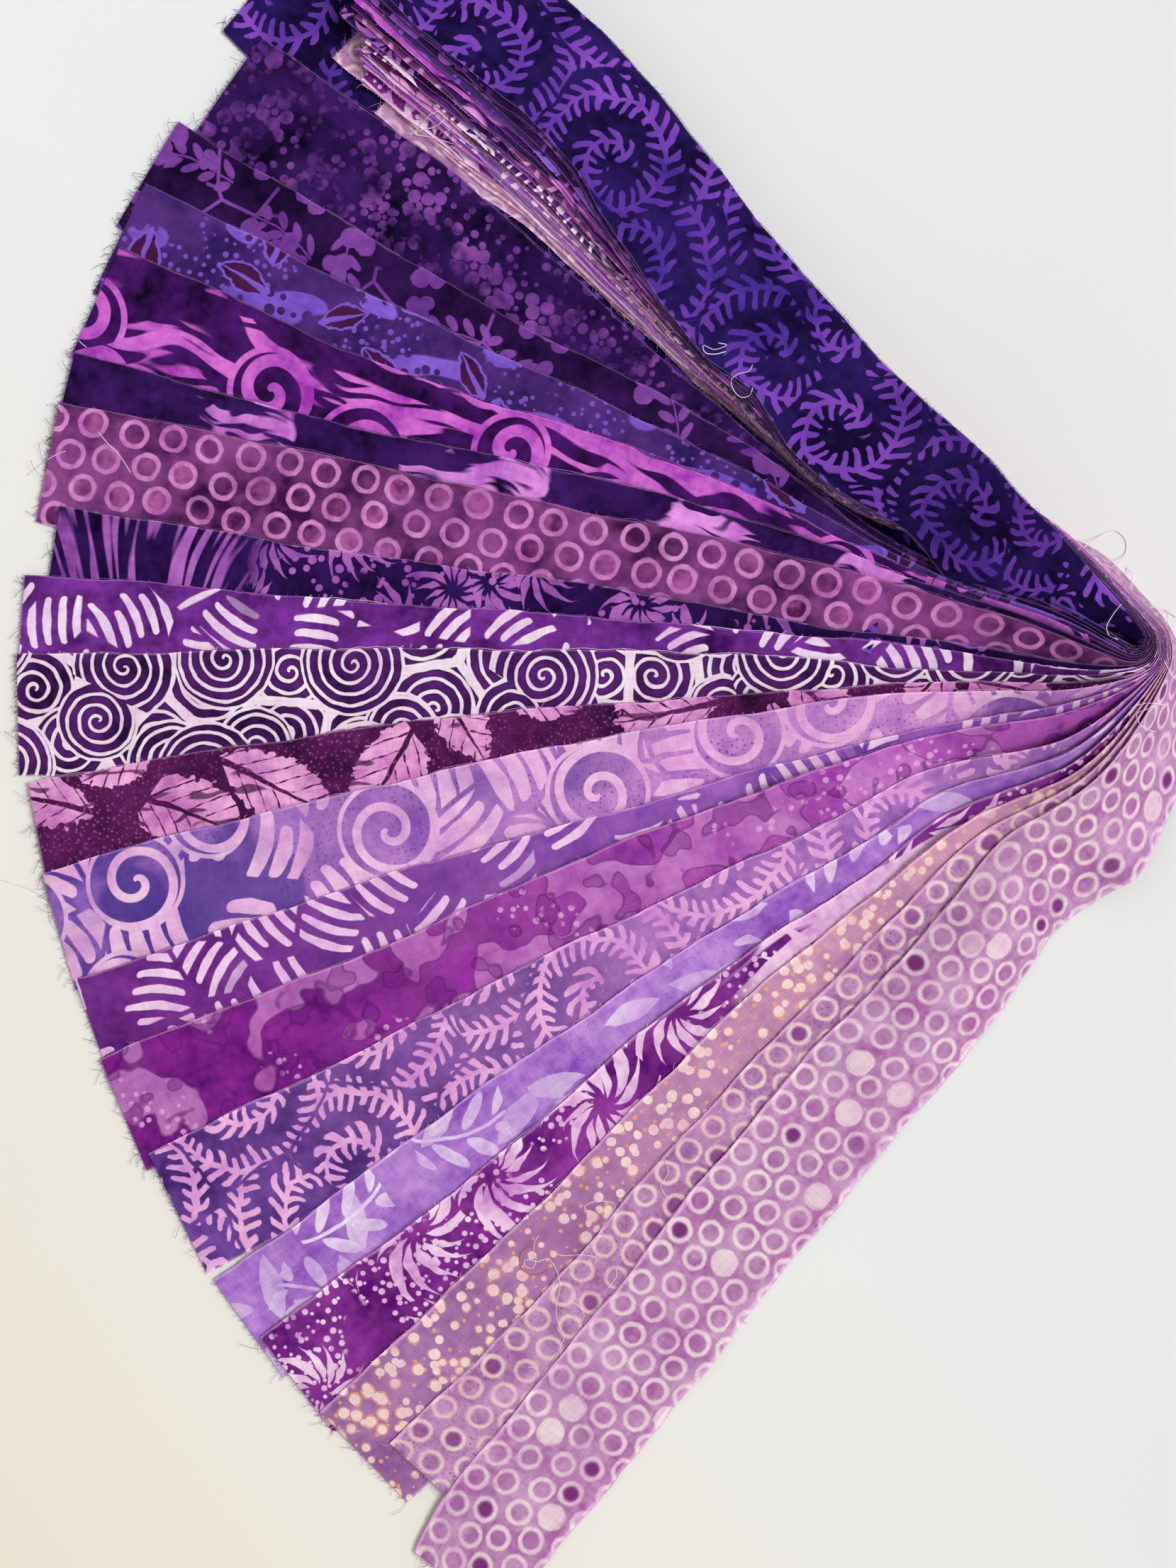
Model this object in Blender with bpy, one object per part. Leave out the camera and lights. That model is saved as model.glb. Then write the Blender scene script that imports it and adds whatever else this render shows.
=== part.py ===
"""A bundle of twenty dyed cotton strips, turned back on itself at one end and fanned out at the other.

Every strip is a ribbon that stands on its lower edge. In the fan each one rests on the strip
before it, like a shingle. At the turn they stand nearly upright, nested round one small loop,
and beyond it they roll outward and lie flat in one stack, the darkest strip on top.
"""

import math

import bmesh
import bpy
import numpy as np
from mathutils import Vector

MM = 0.001

STRIPS = 20
STRIP_WIDTH = 63.5 * MM
STRIP_LENGTH = 1143.0 * MM
THICKNESS = 1.0 * MM
HALF = THICKNESS / 2

# The fan. Each strip's upper edge is placed by its bearing from the neck, in degrees below
# straight left, at each of these distances, and its free end by how far it reaches.
NECK = (290 * MM, 43 * MM)
FAN_RADII = tuple(r * MM for r in (60, 110, 160, 240, 400, 575))
FAN_COLUMNS = ("reach_mm", "at_60", "at_110", "at_160", "at_240", "at_400", "at_575")
FAN = (
    (594, -43.4, -34.7, -33.2, -34.6, -40.0, -40.0),
    (575, -41.5, -33.4, -32.1, -33.6, -37.0, -37.0),
    (587, -39.6, -32.1, -30.8, -32.3, -31.0, -31.0),
    (586, -37.7, -30.8, -29.3, -29.6, -28.0, -27.4),
    (584, -35.6, -29.4, -27.7, -27.2, -24.1, -23.9),
    (586, -33.0, -27.9, -25.9, -24.0, -19.7, -18.0),
    (586, -30.1, -26.2, -23.4, -20.4, -17.2, -15.5),
    (574, -19.0, -15.5, -13.2, -12.3, -10.8, -10.0),
    (587, -15.5, -13.3, -11.4, -9.4, -7.4, -6.5),
    (588, -11.5, -8.0, -7.1, -5.9, -3.9, -2.4),
    (583, -7.5, -4.6, -2.4, -0.4, 1.8, 4.2),
    (581, -3.5, -2.2, -0.2, 2.7, 6.2, 8.8),
    (576, 4.5, 6.6, 8.8, 10.9, 12.9, 14.6),
    (575, 9.0, 9.0, 11.2, 13.9, 17.5, 18.9),
    (570, 22.0, 17.3, 20.0, 21.8, 23.6, 24.7),
    (571, 29.0, 23.7, 26.2, 27.8, 30.2, 32.5),
    (567, 35.0, 29.4, 31.2, 32.1, 34.9, 35.9),
    (567, 39.6, 32.9, 34.7, 36.3, 39.5, 41.5),
    (551, 44.0, 37.8, 40.0, 41.8, 44.1, 45.3),
    (584, 48.6, 42.0, 44.3, 46.0, 47.8, 48.8),
)
# At each of those distances: the steepest and the flattest that a strip leans, in degrees, and
# how far each strip keeps off the one below it, face to face.
MOST_LEAN = (55.0, 37.0, 24.0, 9.0, 5.0, 4.0)
LEAST_LEAN = (44.0, 16.0, 6.0, 1.0, 0.0, 0.0)
FAN_PITCH = tuple(p * MM for p in (1.70, 1.85, 2.00, 2.00, 1.45, 1.40))
# How the first strip leans, at distances of its own.
FIRST_RADII = tuple(r * MM for r in (60, 100, 140, 175, 200, 575))
FIRST_LEAN = (55.0, 37.0, 17.0, 3.0, 0.0, 0.0)
FAN_STEPS_MM = (575, 525, 475, 425, 380, 335, 290, 255, 225, 195, 168, 145, 125, 108, 92, 76, 60)

# The turn, as rays from the middle of the innermost loop: each ray's angle, how far apart the
# upper edges lie on it, and how steeply the strips stand there.
LOOP = (263 * MM, 73 * MM)
LOOP_RADIUS = 4.0 * MM
TURN_COLUMNS = ("ray_deg", "spacing_mm", "lean_deg")
TURN = (
    (-120, 2.50, 57.0),
    (-85, 2.45, 58.5),
    (-50, 2.35, 60.0),
    (-15, 2.20, 61.5),
    (15, 2.05, 63.0),
    (40, 1.90, 65.0),
)
FIRST_RAY = -114.0
RAY_PER_STRIP = 3.4
LAST_RAY = 40.0
TURN_RAYS = 7
NECK_STEPS = 5
TURN_STEPS = 2

# The stack beyond the turn, along the outer edge of the strip on top: where that edge runs, how
# far the strips have rolled over (180 is flat), how far each is drawn back under the one above
# it, and how high the stack lies.
BACK_COLUMNS = ("x_mm", "y_mm", "lean_deg", "spacing_mm", "slip_mm", "rest_mm")
BACK = (
    (250.0, 98.0, 83, 1.80, 0.00, 0.0),
    (230.0, 120.5, 101, 1.78, 0.20, 0.0),
    (209.8, 142.0, 119, 1.75, 0.45, 0.0),
    (197.5, 157.5, 132, 1.72, 0.50, 0.5),
    (168.3, 189.3, 157, 1.62, 0.40, 1.4),
    (144.8, 218.0, 176, 1.55, 0.20, 1.4),
    (106.8, 264.0, 180, 1.35, 0.60, 1.4),
    (64.8, 314.0, 180, 1.35, 1.05, 1.4),
    (28.2, 357.0, 180, 1.35, 1.35, 1.4),
    (-0.4, 388.0, 180, 1.35, 1.55, 1.4),
    (-93.8, 480.0, 180, 1.35, 2.00, 1.4),
    (-190.0, 575.0, 180, 1.35, 2.40, 1.4),
)
BACK_STEPS = (4, 3, 3, 2, 5, 5, 1, 1, 1, 1, 1, 1)

COLOURS = (
    (0.022, 0.008, 0.090),
    (0.042, 0.010, 0.100),
    (0.034, 0.008, 0.080),
    (0.028, 0.013, 0.120),
    (0.130, 0.015, 0.210),
    (0.050, 0.010, 0.110),
    (0.120, 0.030, 0.130),
    (0.040, 0.018, 0.140),
    (0.180, 0.040, 0.330),
    (0.170, 0.070, 0.260),
    (0.130, 0.030, 0.160),
    (0.330, 0.150, 0.480),
    (0.160, 0.040, 0.300),
    (0.270, 0.040, 0.370),
    (0.250, 0.100, 0.430),
    (0.290, 0.130, 0.640),
    (0.260, 0.040, 0.360),
    (0.360, 0.170, 0.360),
    (0.400, 0.200, 0.490),
    (0.450, 0.240, 0.600),
)
ROUGHNESS = 0.85


def smooth(places, values, at, held=False):
    """The values at each place in at, on a smooth curve through values at places.

    With held, the curve never swings past the values on either side of it.
    """
    places = np.asarray(places, float)
    values = np.asarray(values, float)
    at = np.clip(np.atleast_1d(at), places[0], places[-1])
    shape = (-1,) + (1,) * (values.ndim - 1)
    spans = np.diff(places).reshape(shape)
    slopes = np.diff(values, axis=0) / spans
    inner = (slopes[:-1] * spans[1:] + slopes[1:] * spans[:-1]) / (spans[:-1] + spans[1:])
    if held:
        most = 3 * np.minimum(abs(slopes[:-1]), abs(slopes[1:])) * (slopes[:-1] * slopes[1:] > 0)
        inner = np.clip(inner, -most, most)
    tangents = np.concatenate([slopes[:1], inner, slopes[-1:]])
    low = np.clip(np.searchsorted(places, at, side="right") - 1, 0, len(places) - 2)
    span = spans[low]
    t = ((at - places[low]) / np.diff(places)[low]).reshape(shape)
    return (
        (2 * t**3 - 3 * t**2 + 1) * values[low]
        + (t**3 - 2 * t**2 + t) * span * tangents[low]
        + (3 * t**2 - 2 * t**3) * values[low + 1]
        + (t**3 - t**2) * span * tangents[low + 1]
    )


def column(rows, columns, name):
    """One named column of a table."""
    return np.array([row[columns.index(name)] for row in rows], float)


def laid_on(lean, foot, gap, pitch, leans):
    """How a strip leans, and how high its lower edge lies, on one whose edge is gap behind it.

    Of the allowed leans it takes the one that lifts its lower edge least.
    """
    cover = STRIP_WIDTH * math.cos(lean) - gap
    best = None
    for steep in leans:
        beyond = STRIP_WIDTH * math.cos(steep) - cover
        under = foot + max(0.0, cover) * math.tan(lean) + pitch / math.cos(lean)
        over = foot + pitch / math.cos(steep) - beyond * math.tan(steep if beyond > 0 else lean)
        lift = max(0.0, under - STRIP_WIDTH * math.sin(steep), over)
        if best is None or lift < best[1] - 0.005 * MM:
            best = (steep, lift)
    return best


def fan_section(radius):
    """Each strip's bearing, lean and lower-edge height at one distance from the neck."""
    bearings = np.radians([row[1:] for row in FAN]).T
    bearing = smooth(FAN_RADII, bearings, radius)[0]
    most, least, pitch = (
        smooth(FAN_RADII, values, radius, held=True)[0]
        for values in (MOST_LEAN, LEAST_LEAN, FAN_PITCH)
    )
    allowed = np.radians(np.linspace(least, most, 61))
    lean = math.radians(smooth(FIRST_RADII, FIRST_LEAN, radius, held=True)[0])
    foot = 0.0
    leans, feet = [lean], [foot]
    for gap in np.diff(bearing) * radius:
        lean, foot = laid_on(lean, foot, gap, pitch, allowed)
        leans.append(lean)
        feet.append(foot)
    return bearing, np.array(leans), np.array(feet)


def fan_rows():
    """The fan's guide rows for every strip, from its free end to the neck: x, y, lean, foot."""
    reach = column(FAN, FAN_COLUMNS, "reach_mm") * MM
    places = [[] for _ in range(STRIPS)]
    for radius in (step * MM for step in FAN_STEPS_MM):
        bearing, leans, feet = fan_section(radius)
        for k in range(STRIPS):
            away = reach[k] if not places[k] else radius
            if away < radius:
                continue
            x = NECK[0] - away * math.cos(bearing[k])
            y = NECK[1] - away * math.sin(bearing[k])
            places[k].append((x, y, away, leans[k], feet[k]))
    rows = []
    for place in places:
        x, y, away, lean, foot = np.array(place).T
        heading = np.arctan2(np.gradient(y, -away), np.gradient(x, -away))
        rows.append(list(zip(x, y, heading, lean, foot)))
    return rows


def turn_rows(k):
    """The turn's guide rows for one strip, from where it meets its loop to the last ray."""
    rays = column(TURN, TURN_COLUMNS, "ray_deg")
    at = np.linspace(FIRST_RAY + RAY_PER_STRIP * k, LAST_RAY, TURN_RAYS)
    spacing = smooth(rays, column(TURN, TURN_COLUMNS, "spacing_mm") * MM, at)
    lean = np.radians(smooth(rays, column(TURN, TURN_COLUMNS, "lean_deg"), at))
    away = LOOP_RADIUS + k * spacing
    x = LOOP[0] + away * np.cos(np.radians(at))
    y = LOOP[1] + away * np.sin(np.radians(at))
    return list(zip(x, y, np.radians(at + 90), lean, np.zeros(len(at))))


def back_rows(k):
    """The stack's guide rows for one strip, from the turn to beyond its end."""
    x = column(BACK, BACK_COLUMNS, "x_mm") * MM
    y = column(BACK, BACK_COLUMNS, "y_mm") * MM
    lean = np.radians(column(BACK, BACK_COLUMNS, "lean_deg"))
    spacing = column(BACK, BACK_COLUMNS, "spacing_mm") * MM
    slip = column(BACK, BACK_COLUMNS, "slip_mm") * MM
    rest = column(BACK, BACK_COLUMNS, "rest_mm") * MM
    along = np.concatenate([[0.0], np.cumsum(np.hypot(np.diff(x), np.diff(y)))])
    heading = np.arctan2(np.gradient(y, along), np.gradient(x, along))
    out = k * (spacing * np.sin(lean) + slip * np.cos(lean))
    step = slip * np.sin(lean) - spacing * np.cos(lean)
    foot = rest + (STRIPS - 1 - k) * step
    x = x + out * np.sin(heading)
    y = y - out * np.cos(heading)
    return list(zip(x, y, heading, lean, foot))


def edges_at(x, y, heading, lean, foot):
    """Upper and lower edge points of a strip, from where its upper edge runs and how it leans."""
    across = STRIP_WIDTH * np.cos(lean)
    upper = np.stack([x, y, foot + STRIP_WIDTH * np.sin(lean)], 1)
    lower = np.stack([x + across * np.sin(heading), y - across * np.cos(heading), foot], 1)
    return upper, lower


def edge_lines(guide, steps):
    """Upper and lower edge points of a strip through its guide rows, cut to the strip's length."""
    guide = np.array(guide)
    guide[:, 2] = np.unwrap(guide[:, 2])
    middle = sum(edges_at(*guide.T)) / 2
    chord = np.linalg.norm(np.diff(middle, axis=0), axis=1)
    along = np.concatenate([[0.0], np.cumsum(chord)])
    at = np.concatenate(
        [np.linspace(along[i], along[i + 1], n, endpoint=False) for i, n in enumerate(steps)]
        + [along[-1:]]
    )
    x, y = smooth(along, guide[:, :2], at).T
    heading, lean, foot = smooth(along, guide[:, 2:], at, held=True).T
    foot = foot + HALF * np.abs(np.cos(lean))
    return cut_to_length(*edges_at(x, y, heading, lean, foot))


def cut_to_length(upper, lower):
    """The two edges as far as the strip's own length, measured along its middle."""
    middle = (upper + lower) / 2
    length = np.concatenate([[0.0], np.cumsum(np.linalg.norm(np.diff(middle, axis=0), axis=1))])
    last = int(np.searchsorted(length, STRIP_LENGTH))
    share = (STRIP_LENGTH - length[last - 1]) / (length[last] - length[last - 1])
    if share < 0.3:
        last -= 1
        share = (STRIP_LENGTH - length[last - 1]) / (length[last] - length[last - 1])
    for edge in (upper, lower):
        edge[last] = edge[last - 1] + share * (edge[last] - edge[last - 1])
    return upper[: last + 1], lower[: last + 1]


def strip_edges():
    """The edge lines of every strip, the innermost first."""
    edges = []
    for k, fan in enumerate(fan_rows()):
        turn = turn_rows(k)
        steps = [1] * (len(fan) - 1) + [NECK_STEPS] + [TURN_STEPS] * (len(turn) - 1)
        edges.append(edge_lines(fan + turn + back_rows(k), steps + list(BACK_STEPS)))
    return edges


def skin(upper, lower):
    """Corners round a strip at each of its stations: three on its face and three on its back."""
    across = upper - lower
    lines = (upper, (upper + lower) / 2, lower)
    sides = []
    for line in lines:
        normal = np.cross(np.gradient(line, axis=0), across)
        normal *= HALF / np.linalg.norm(normal, axis=1)[:, None]
        sides.append((line + normal, line - normal))
    ring = [face for face, back in sides] + [back for face, back in reversed(sides)]
    corners = np.stack(ring, 1)
    corners[:, :, 2] = np.maximum(corners[:, :, 2], 0.0)
    return corners


def build_strip(name, upper, lower, colour):
    """One strip as a closed ribbon of even thickness, its triangles alike on every strip."""
    mesh = bmesh.new()
    rings = [
        [mesh.verts.new(Vector(corner)) for corner in corners] for corners in skin(upper, lower)
    ]
    for ring, after in zip(rings, rings[1:]):
        for i in range(6):
            j = (i + 1) % 6
            if i < 3:
                mesh.faces.new((ring[i], ring[j], after[j]))
                mesh.faces.new((ring[i], after[j], after[i]))
            else:
                mesh.faces.new((ring[i], ring[j], after[i]))
                mesh.faces.new((ring[j], after[j], after[i]))
    for ring in (rings[0][::-1], rings[-1]):
        mesh.faces.new((ring[0], ring[1], ring[4], ring[5]))
        mesh.faces.new((ring[1], ring[2], ring[3], ring[4]))
    bmesh.ops.recalc_face_normals(mesh, faces=mesh.faces)
    data = bpy.data.meshes.new(name)
    mesh.to_mesh(data)
    mesh.free()
    strip = bpy.data.objects.new(name, data)
    bpy.context.scene.collection.objects.link(strip)
    data.materials.append(cotton(name, colour))
    return strip


def cotton(name, colour):
    """Plain dyed cotton in one strip's colour."""
    material = bpy.data.materials.new(name + "_cotton")
    material.use_nodes = True
    shader = material.node_tree.nodes["Principled BSDF"]
    shader.inputs["Base Color"].default_value = (*colour, 1.0)
    shader.inputs["Roughness"].default_value = ROUGHNESS
    shader.inputs["Metallic"].default_value = 0.0
    return material


def clear_scene():
    """An empty scene to build in."""
    for old in list(bpy.data.objects):
        bpy.data.objects.remove(old, do_unlink=True)


def main():
    clear_scene()
    edges = strip_edges()
    points = np.concatenate([line for pair in edges for line in pair])
    middle = (points.min(axis=0) + points.max(axis=0)) / 2
    middle[2] = 0.0
    for k, (upper, lower) in enumerate(edges):
        build_strip(f"strip_{k + 1:02d}", upper - middle, lower - middle, COLOURS[k])


main()
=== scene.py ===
"""The looks of a bundle of dyed cotton strips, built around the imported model.

Each strip is a fine sheet on the same lines as its solid, with its own dyed pattern, a frayed
edge and a few loose threads. Places are plan millimetres with the photograph's centre at zero,
and they are moved to the model's own origin at the end.
"""

import math
from functools import partial

import bpy
import numpy as np
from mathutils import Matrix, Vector
from mathutils.bvhtree import BVHTree


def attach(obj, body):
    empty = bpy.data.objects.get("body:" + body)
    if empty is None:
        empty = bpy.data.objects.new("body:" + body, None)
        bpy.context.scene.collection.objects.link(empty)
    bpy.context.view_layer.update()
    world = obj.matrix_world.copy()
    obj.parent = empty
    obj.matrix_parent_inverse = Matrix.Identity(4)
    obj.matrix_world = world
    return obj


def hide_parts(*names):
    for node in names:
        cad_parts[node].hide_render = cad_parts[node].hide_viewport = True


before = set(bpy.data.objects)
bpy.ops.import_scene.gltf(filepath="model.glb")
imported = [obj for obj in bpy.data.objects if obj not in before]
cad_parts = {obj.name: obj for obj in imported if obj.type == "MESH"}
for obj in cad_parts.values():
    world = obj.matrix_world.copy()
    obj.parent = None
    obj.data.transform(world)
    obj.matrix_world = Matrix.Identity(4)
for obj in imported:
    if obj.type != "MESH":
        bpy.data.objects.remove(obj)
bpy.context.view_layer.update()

MM = 0.001

# The strips, and the lines that they run along, as in the solids.
STRIPS = 20
STRIP_WIDTH = 63.5 * MM
STRIP_LENGTH = 1143.0 * MM
THICKNESS = 1.0 * MM
HALF = THICKNESS / 2

# The fan: for each strip, how far from the neck it ends in millimetres, and its bearing from
# there in degrees at each of the radii.
NECK = (290 * MM, 43 * MM)
FAN_RADII = tuple(r * MM for r in (60, 110, 160, 240, 400, 575))
FAN = (
    (594, -43.4, -34.7, -33.2, -34.6, -40, -40),
    (575, -41.5, -33.4, -32.1, -33.6, -37, -37),
    (587, -39.6, -32.1, -30.8, -32.3, -31, -31),
    (586, -37.7, -30.8, -29.3, -29.6, -28, -27.4),
    (584, -35.6, -29.4, -27.7, -27.2, -24.1, -23.9),
    (586, -33, -27.9, -25.9, -24, -19.7, -18),
    (586, -30.1, -26.2, -23.4, -20.4, -17.2, -15.5),
    (574, -19, -15.5, -13.2, -12.3, -10.8, -10),
    (587, -15.5, -13.3, -11.4, -9.4, -7.4, -6.5),
    (588, -11.5, -8, -7.1, -5.9, -3.9, -2.4),
    (583, -7.5, -4.6, -2.4, -0.4, 1.8, 4.2),
    (581, -3.5, -2.2, -0.2, 2.7, 6.2, 8.8),
    (576, 4.5, 6.6, 8.8, 10.9, 12.9, 14.6),
    (575, 9, 9, 11.2, 13.9, 17.5, 18.9),
    (570, 22, 17.3, 20, 21.8, 23.6, 24.7),
    (571, 29, 23.7, 26.2, 27.8, 30.2, 32.5),
    (567, 35, 29.4, 31.2, 32.1, 34.9, 35.9),
    (567, 39.6, 32.9, 34.7, 36.3, 39.5, 41.5),
    (551, 44, 37.8, 40, 41.8, 44.1, 45.3),
    (584, 48.6, 42, 44.3, 46, 47.8, 48.8),
)

# The fan's strips lie on each other like shingles. How steep and how flat they may lean at the
# radii, in degrees, how far apart their middles lie, and how the first one leans. Of the leans
# tried, each strip takes the first that lies lowest.
MOST_LEAN = (55, 37, 24, 9, 5, 4)
LEAST_LEAN = (44, 16, 6, 1, 0, 0)
FAN_PITCH = tuple(p * MM for p in (1.70, 1.85, 2.00, 2.00, 1.45, 1.40))
FIRST_RADII = tuple(r * MM for r in (60, 100, 140, 175, 200, 575))
FIRST_LEAN = (55, 37, 17, 3, 0, 0)
LEANS_TRIED = 61
SAME_LIFT = 0.005 * MM
FAN_STEPS_MM = (575, 525, 475, 425, 380, 335, 290, 255, 225, 195, 168, 145, 125, 108, 92, 76, 60)

# The turn: for each ray in degrees, the strips' spacing in millimetres and their lean in degrees.
LOOP = (263 * MM, 73 * MM)
LOOP_RADIUS = 4 * MM
TURN = (
    (-120, 2.50, 57),
    (-85, 2.45, 58.5),
    (-50, 2.35, 60),
    (-15, 2.20, 61.5),
    (15, 2.05, 63),
    (40, 1.90, 65),
)
FIRST_RAY = -114
RAY_PER_STRIP = 3.4
LAST_RAY = 40
TURN_RAYS = 7
NECK_STEPS = 5
TURN_STEPS = 2

# The stack: the rows' places in millimetres, the strips' lean in degrees, and in millimetres
# their spacing, how far each slips back from the last, and how high the last one lies.
BACK = (
    (250, 98, 83, 1.80, 0.00, 0),
    (230, 120.5, 101, 1.78, 0.20, 0),
    (209.8, 142, 119, 1.75, 0.45, 0),
    (197.5, 157.5, 132, 1.72, 0.50, 0.5),
    (168.3, 189.3, 157, 1.62, 0.40, 1.4),
    (144.8, 218, 176, 1.55, 0.20, 1.4),
    (106.8, 264, 180, 1.35, 0.60, 1.4),
    (64.8, 314, 180, 1.35, 1.05, 1.4),
    (28.2, 357, 180, 1.35, 1.35, 1.4),
    (-0.4, 388, 180, 1.35, 1.55, 1.4),
    (-93.8, 480, 180, 1.35, 2.00, 1.4),
    (-190, 575, 180, 1.35, 2.40, 1.4),
)

# The solids' steps between the stack's rows, and the least share of one that their last step is.
BACK_STEPS = (4, 3, 3, 2, 5, 5, 1, 1, 1, 1, 1, 1)
SHORTEST_STEP = 0.3

# Real cloth is thinner than the solids, so round the turn and beyond it lies closer, about a loop
# a little further out: the share of the spacing that is left on each ray and row, and how many
# degrees the outermost strip flares out.
CLOTH_LOOP = (273.5 * MM, 72.5 * MM)
TURN_CLOSE = (0.54, 0.50, 0.42, 0.31, 0.27, 0.26)
TURN_FLARE = (0, 0, -4, -9, -11, -10)
BACK_CLOSE = (0.19, 0.16, 0.18, 0.23, 0.45) + (1,) * 7
BACK_FLARE = (9, 19, 14, 7, 2) + (0,) * 7
FLARE_POWER = 5
BACK_SHIFT_MM = ((5.5, 2), (2, 2)) + ((0, 0),) * 10

# Where the first strip's two halves meet in the valley beyond the turn: the row, the place in
# millimetres that its cloth folds down at, and the share of the fold that shows. The fold is
# rounded off twice. Rows count from the stack's first, so those before it are below zero.
VALLEY = (
    (-7, 273.5, 72.5, 44, 0),
    (-5, 273.5, 72.5, 46, 1),
    (-3, 273, 72.5, 48, 1),
    (-1, 269, 73.5, 49, 1),
    (0, 240, 85, 48, 1),
    (1, 210, 98.6, 41, 1),
    (2, 178.6, 112.6, 27.5, 1),
    (3, 157.5, 125.6, 28.5, 1),
    (4, 121, 148.5, 31, 0),
)
ROUNDED = 2

# How far the strips' edges wander to the right of their run: the row, and the way of the lower
# and of the upper edge in millimetres. Some strips, counted from 0, have their own table.
WANDER = {
    0: (
        (-24.3, -23, -23), (-21, -14, -14), (-17, 0, 0), (-16.5, 0, 0),
        (-14.6, 0, -3), (-13.5, 0, -5), (-12.4, 0, -3), (-11, 0, 0),
        (4.7, 0, 0), (5.4, 4, 0), (5.95, -2, 0.3), (6.6, 0, 0.8),
        (7.4, 4.6, 2), (7.9, 9, 3), (8.7, 7.5, 2), (9.6, 1, 0), (11, 0, 0),
    ),
    14: ((-24.3, 9, 0), (-23.2, 7, 0), (-21.8, 3, 0), (-20, 0, 0)),
    15: ((-24.3, 0, 6), (-23.7, 0, 1.5), (-23, 0, 0)),
    17: (
        (-24.3, 0, 2), (-23.6, 0, -1), (-22.8, 0, -2.5), (-21, 0, 0),
        (8, 0, 0), (9, -3.5, -3.5), (10, -9, -9), (11, -11, -11),
    ),
    18: (
        (-24.3, 0, 3), (-23.8, 0, -1), (-23, 0, -4), (-21.5, 0, 0),
        (7.5, 0, 0), (8.5, -1.5, -1.5), (9.5, -3, -3), (11, -3, -3),
    ),
    19: (
        (-24.3, 0, 10), (-23.9, 0, 4), (-23.3, 0, 0), (-22, 0, 0),
        (-17, 0, 0), (-15, 0, 3.5), (-13, -1.5, 5), (-11.6, -3, 3),
        (-10, -1, 0), (-9, 3.5, 0), (-8, 10.5, 0), (-7, 10, 0),
        (-6, 7, 0), (-5, 3.5, 0), (-4, 1, 0), (-3, 0, 0),
        (7, 0, 0), (8, -3, -3), (9.2, -9, -9), (11, -10, -10),
    ),
}
OTHERS_WANDER = ((7.5, 0, 0), (8.3, -1, -1), (9, -3.5, -3.5), (10, -9, -9), (11, -11, -11))

# The strips next to the first follow its edges in the stack, less and less.
FOLLOWERS = 9
FOLLOW_POWER = 1.5

# The rows between which an edge that moves out rises, and the cloth doesn't stretch.
KEPT_ROWS = (-17.5, 0)

# How far the innermost strip's lower edge is drawn in past the turn, to stay inside the others,
# and the share of it on some rows.
TUCKED_UNDER = 7 * MM
TUCKED_SHARES = ((-5, -3, -1, 1, 3), (0, 1, 1, 1, 0))

# Gentle waves of the cloth. Those that all layers share have a length in metres, a turn and a
# height in millimetres. Those of one strip alone have a length and a height in the cloth's plane
# and out of it. By the rows, a share of them shows.
SHARED_WAVES = ((0.155, 0.9, 0.55), (0.083, -1.7, 0.40), (0.061, 2.6, 0.22))
WAVY_SHARES = ((-14, -9, -7, -1, 4, 6), (1, 0.3, 0, 0, 0.3, 1))
OWN_WAVES = ((0.210, 0.55, 0.00), (0.094, 0.50, 0.10), (0.047, 0.28, 0.07), (0.019, 0.12, 0.03))

# The fine sheets: how thick they are, how wide their threads are, how far their stations lie
# apart, how much longer than the solids they are, and how they are divided across.
CLOTH = 0.25 * MM
THREAD_MM = 0.48
STATION = 4 * MM
LONGER = 6 * MM
LONGER_LAST = 14 * MM
LAST_TWO = (18, 19)
ACROSS = 10
SHARE = np.linspace(0.0, 1.0, ACROSS + 1)
FLOOR_GAP = 0.05 * MM
SHARP_ANGLE = math.radians(60)

# Frayed threads: how far apart they start along an end and along an edge, and what their lengths
# by chance go by, as a shape, a scale and a shortest length in millimetres. A share of those at
# an end are long. Others run beside an edge. A step inward tells which way is out.
END_PITCH = 0.95 * MM
END_SPANS = (1.6, 0.75, 0.4)
LONG_ONES = 0.05
EDGE_PITCH = 4.5 * MM
EDGE_MARGIN = 3 * MM
EDGE_SPANS = (1.3, 0.42, 0.2)
BESIDE_PITCH = 62 * MM
BESIDE_START = 12 * MM
BESIDE_END = 90 * MM
BESIDE_POINTS = 16
BESIDE_LIFT = 0.12
INWARD = 2 * MM
THREAD_RADIUS = 0.13 * MM
THREAD_GAP = 0.1 * MM
THREAD_FACES = 3
OFF_AXIS = (0.131, 0.217, 0.967)

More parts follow.
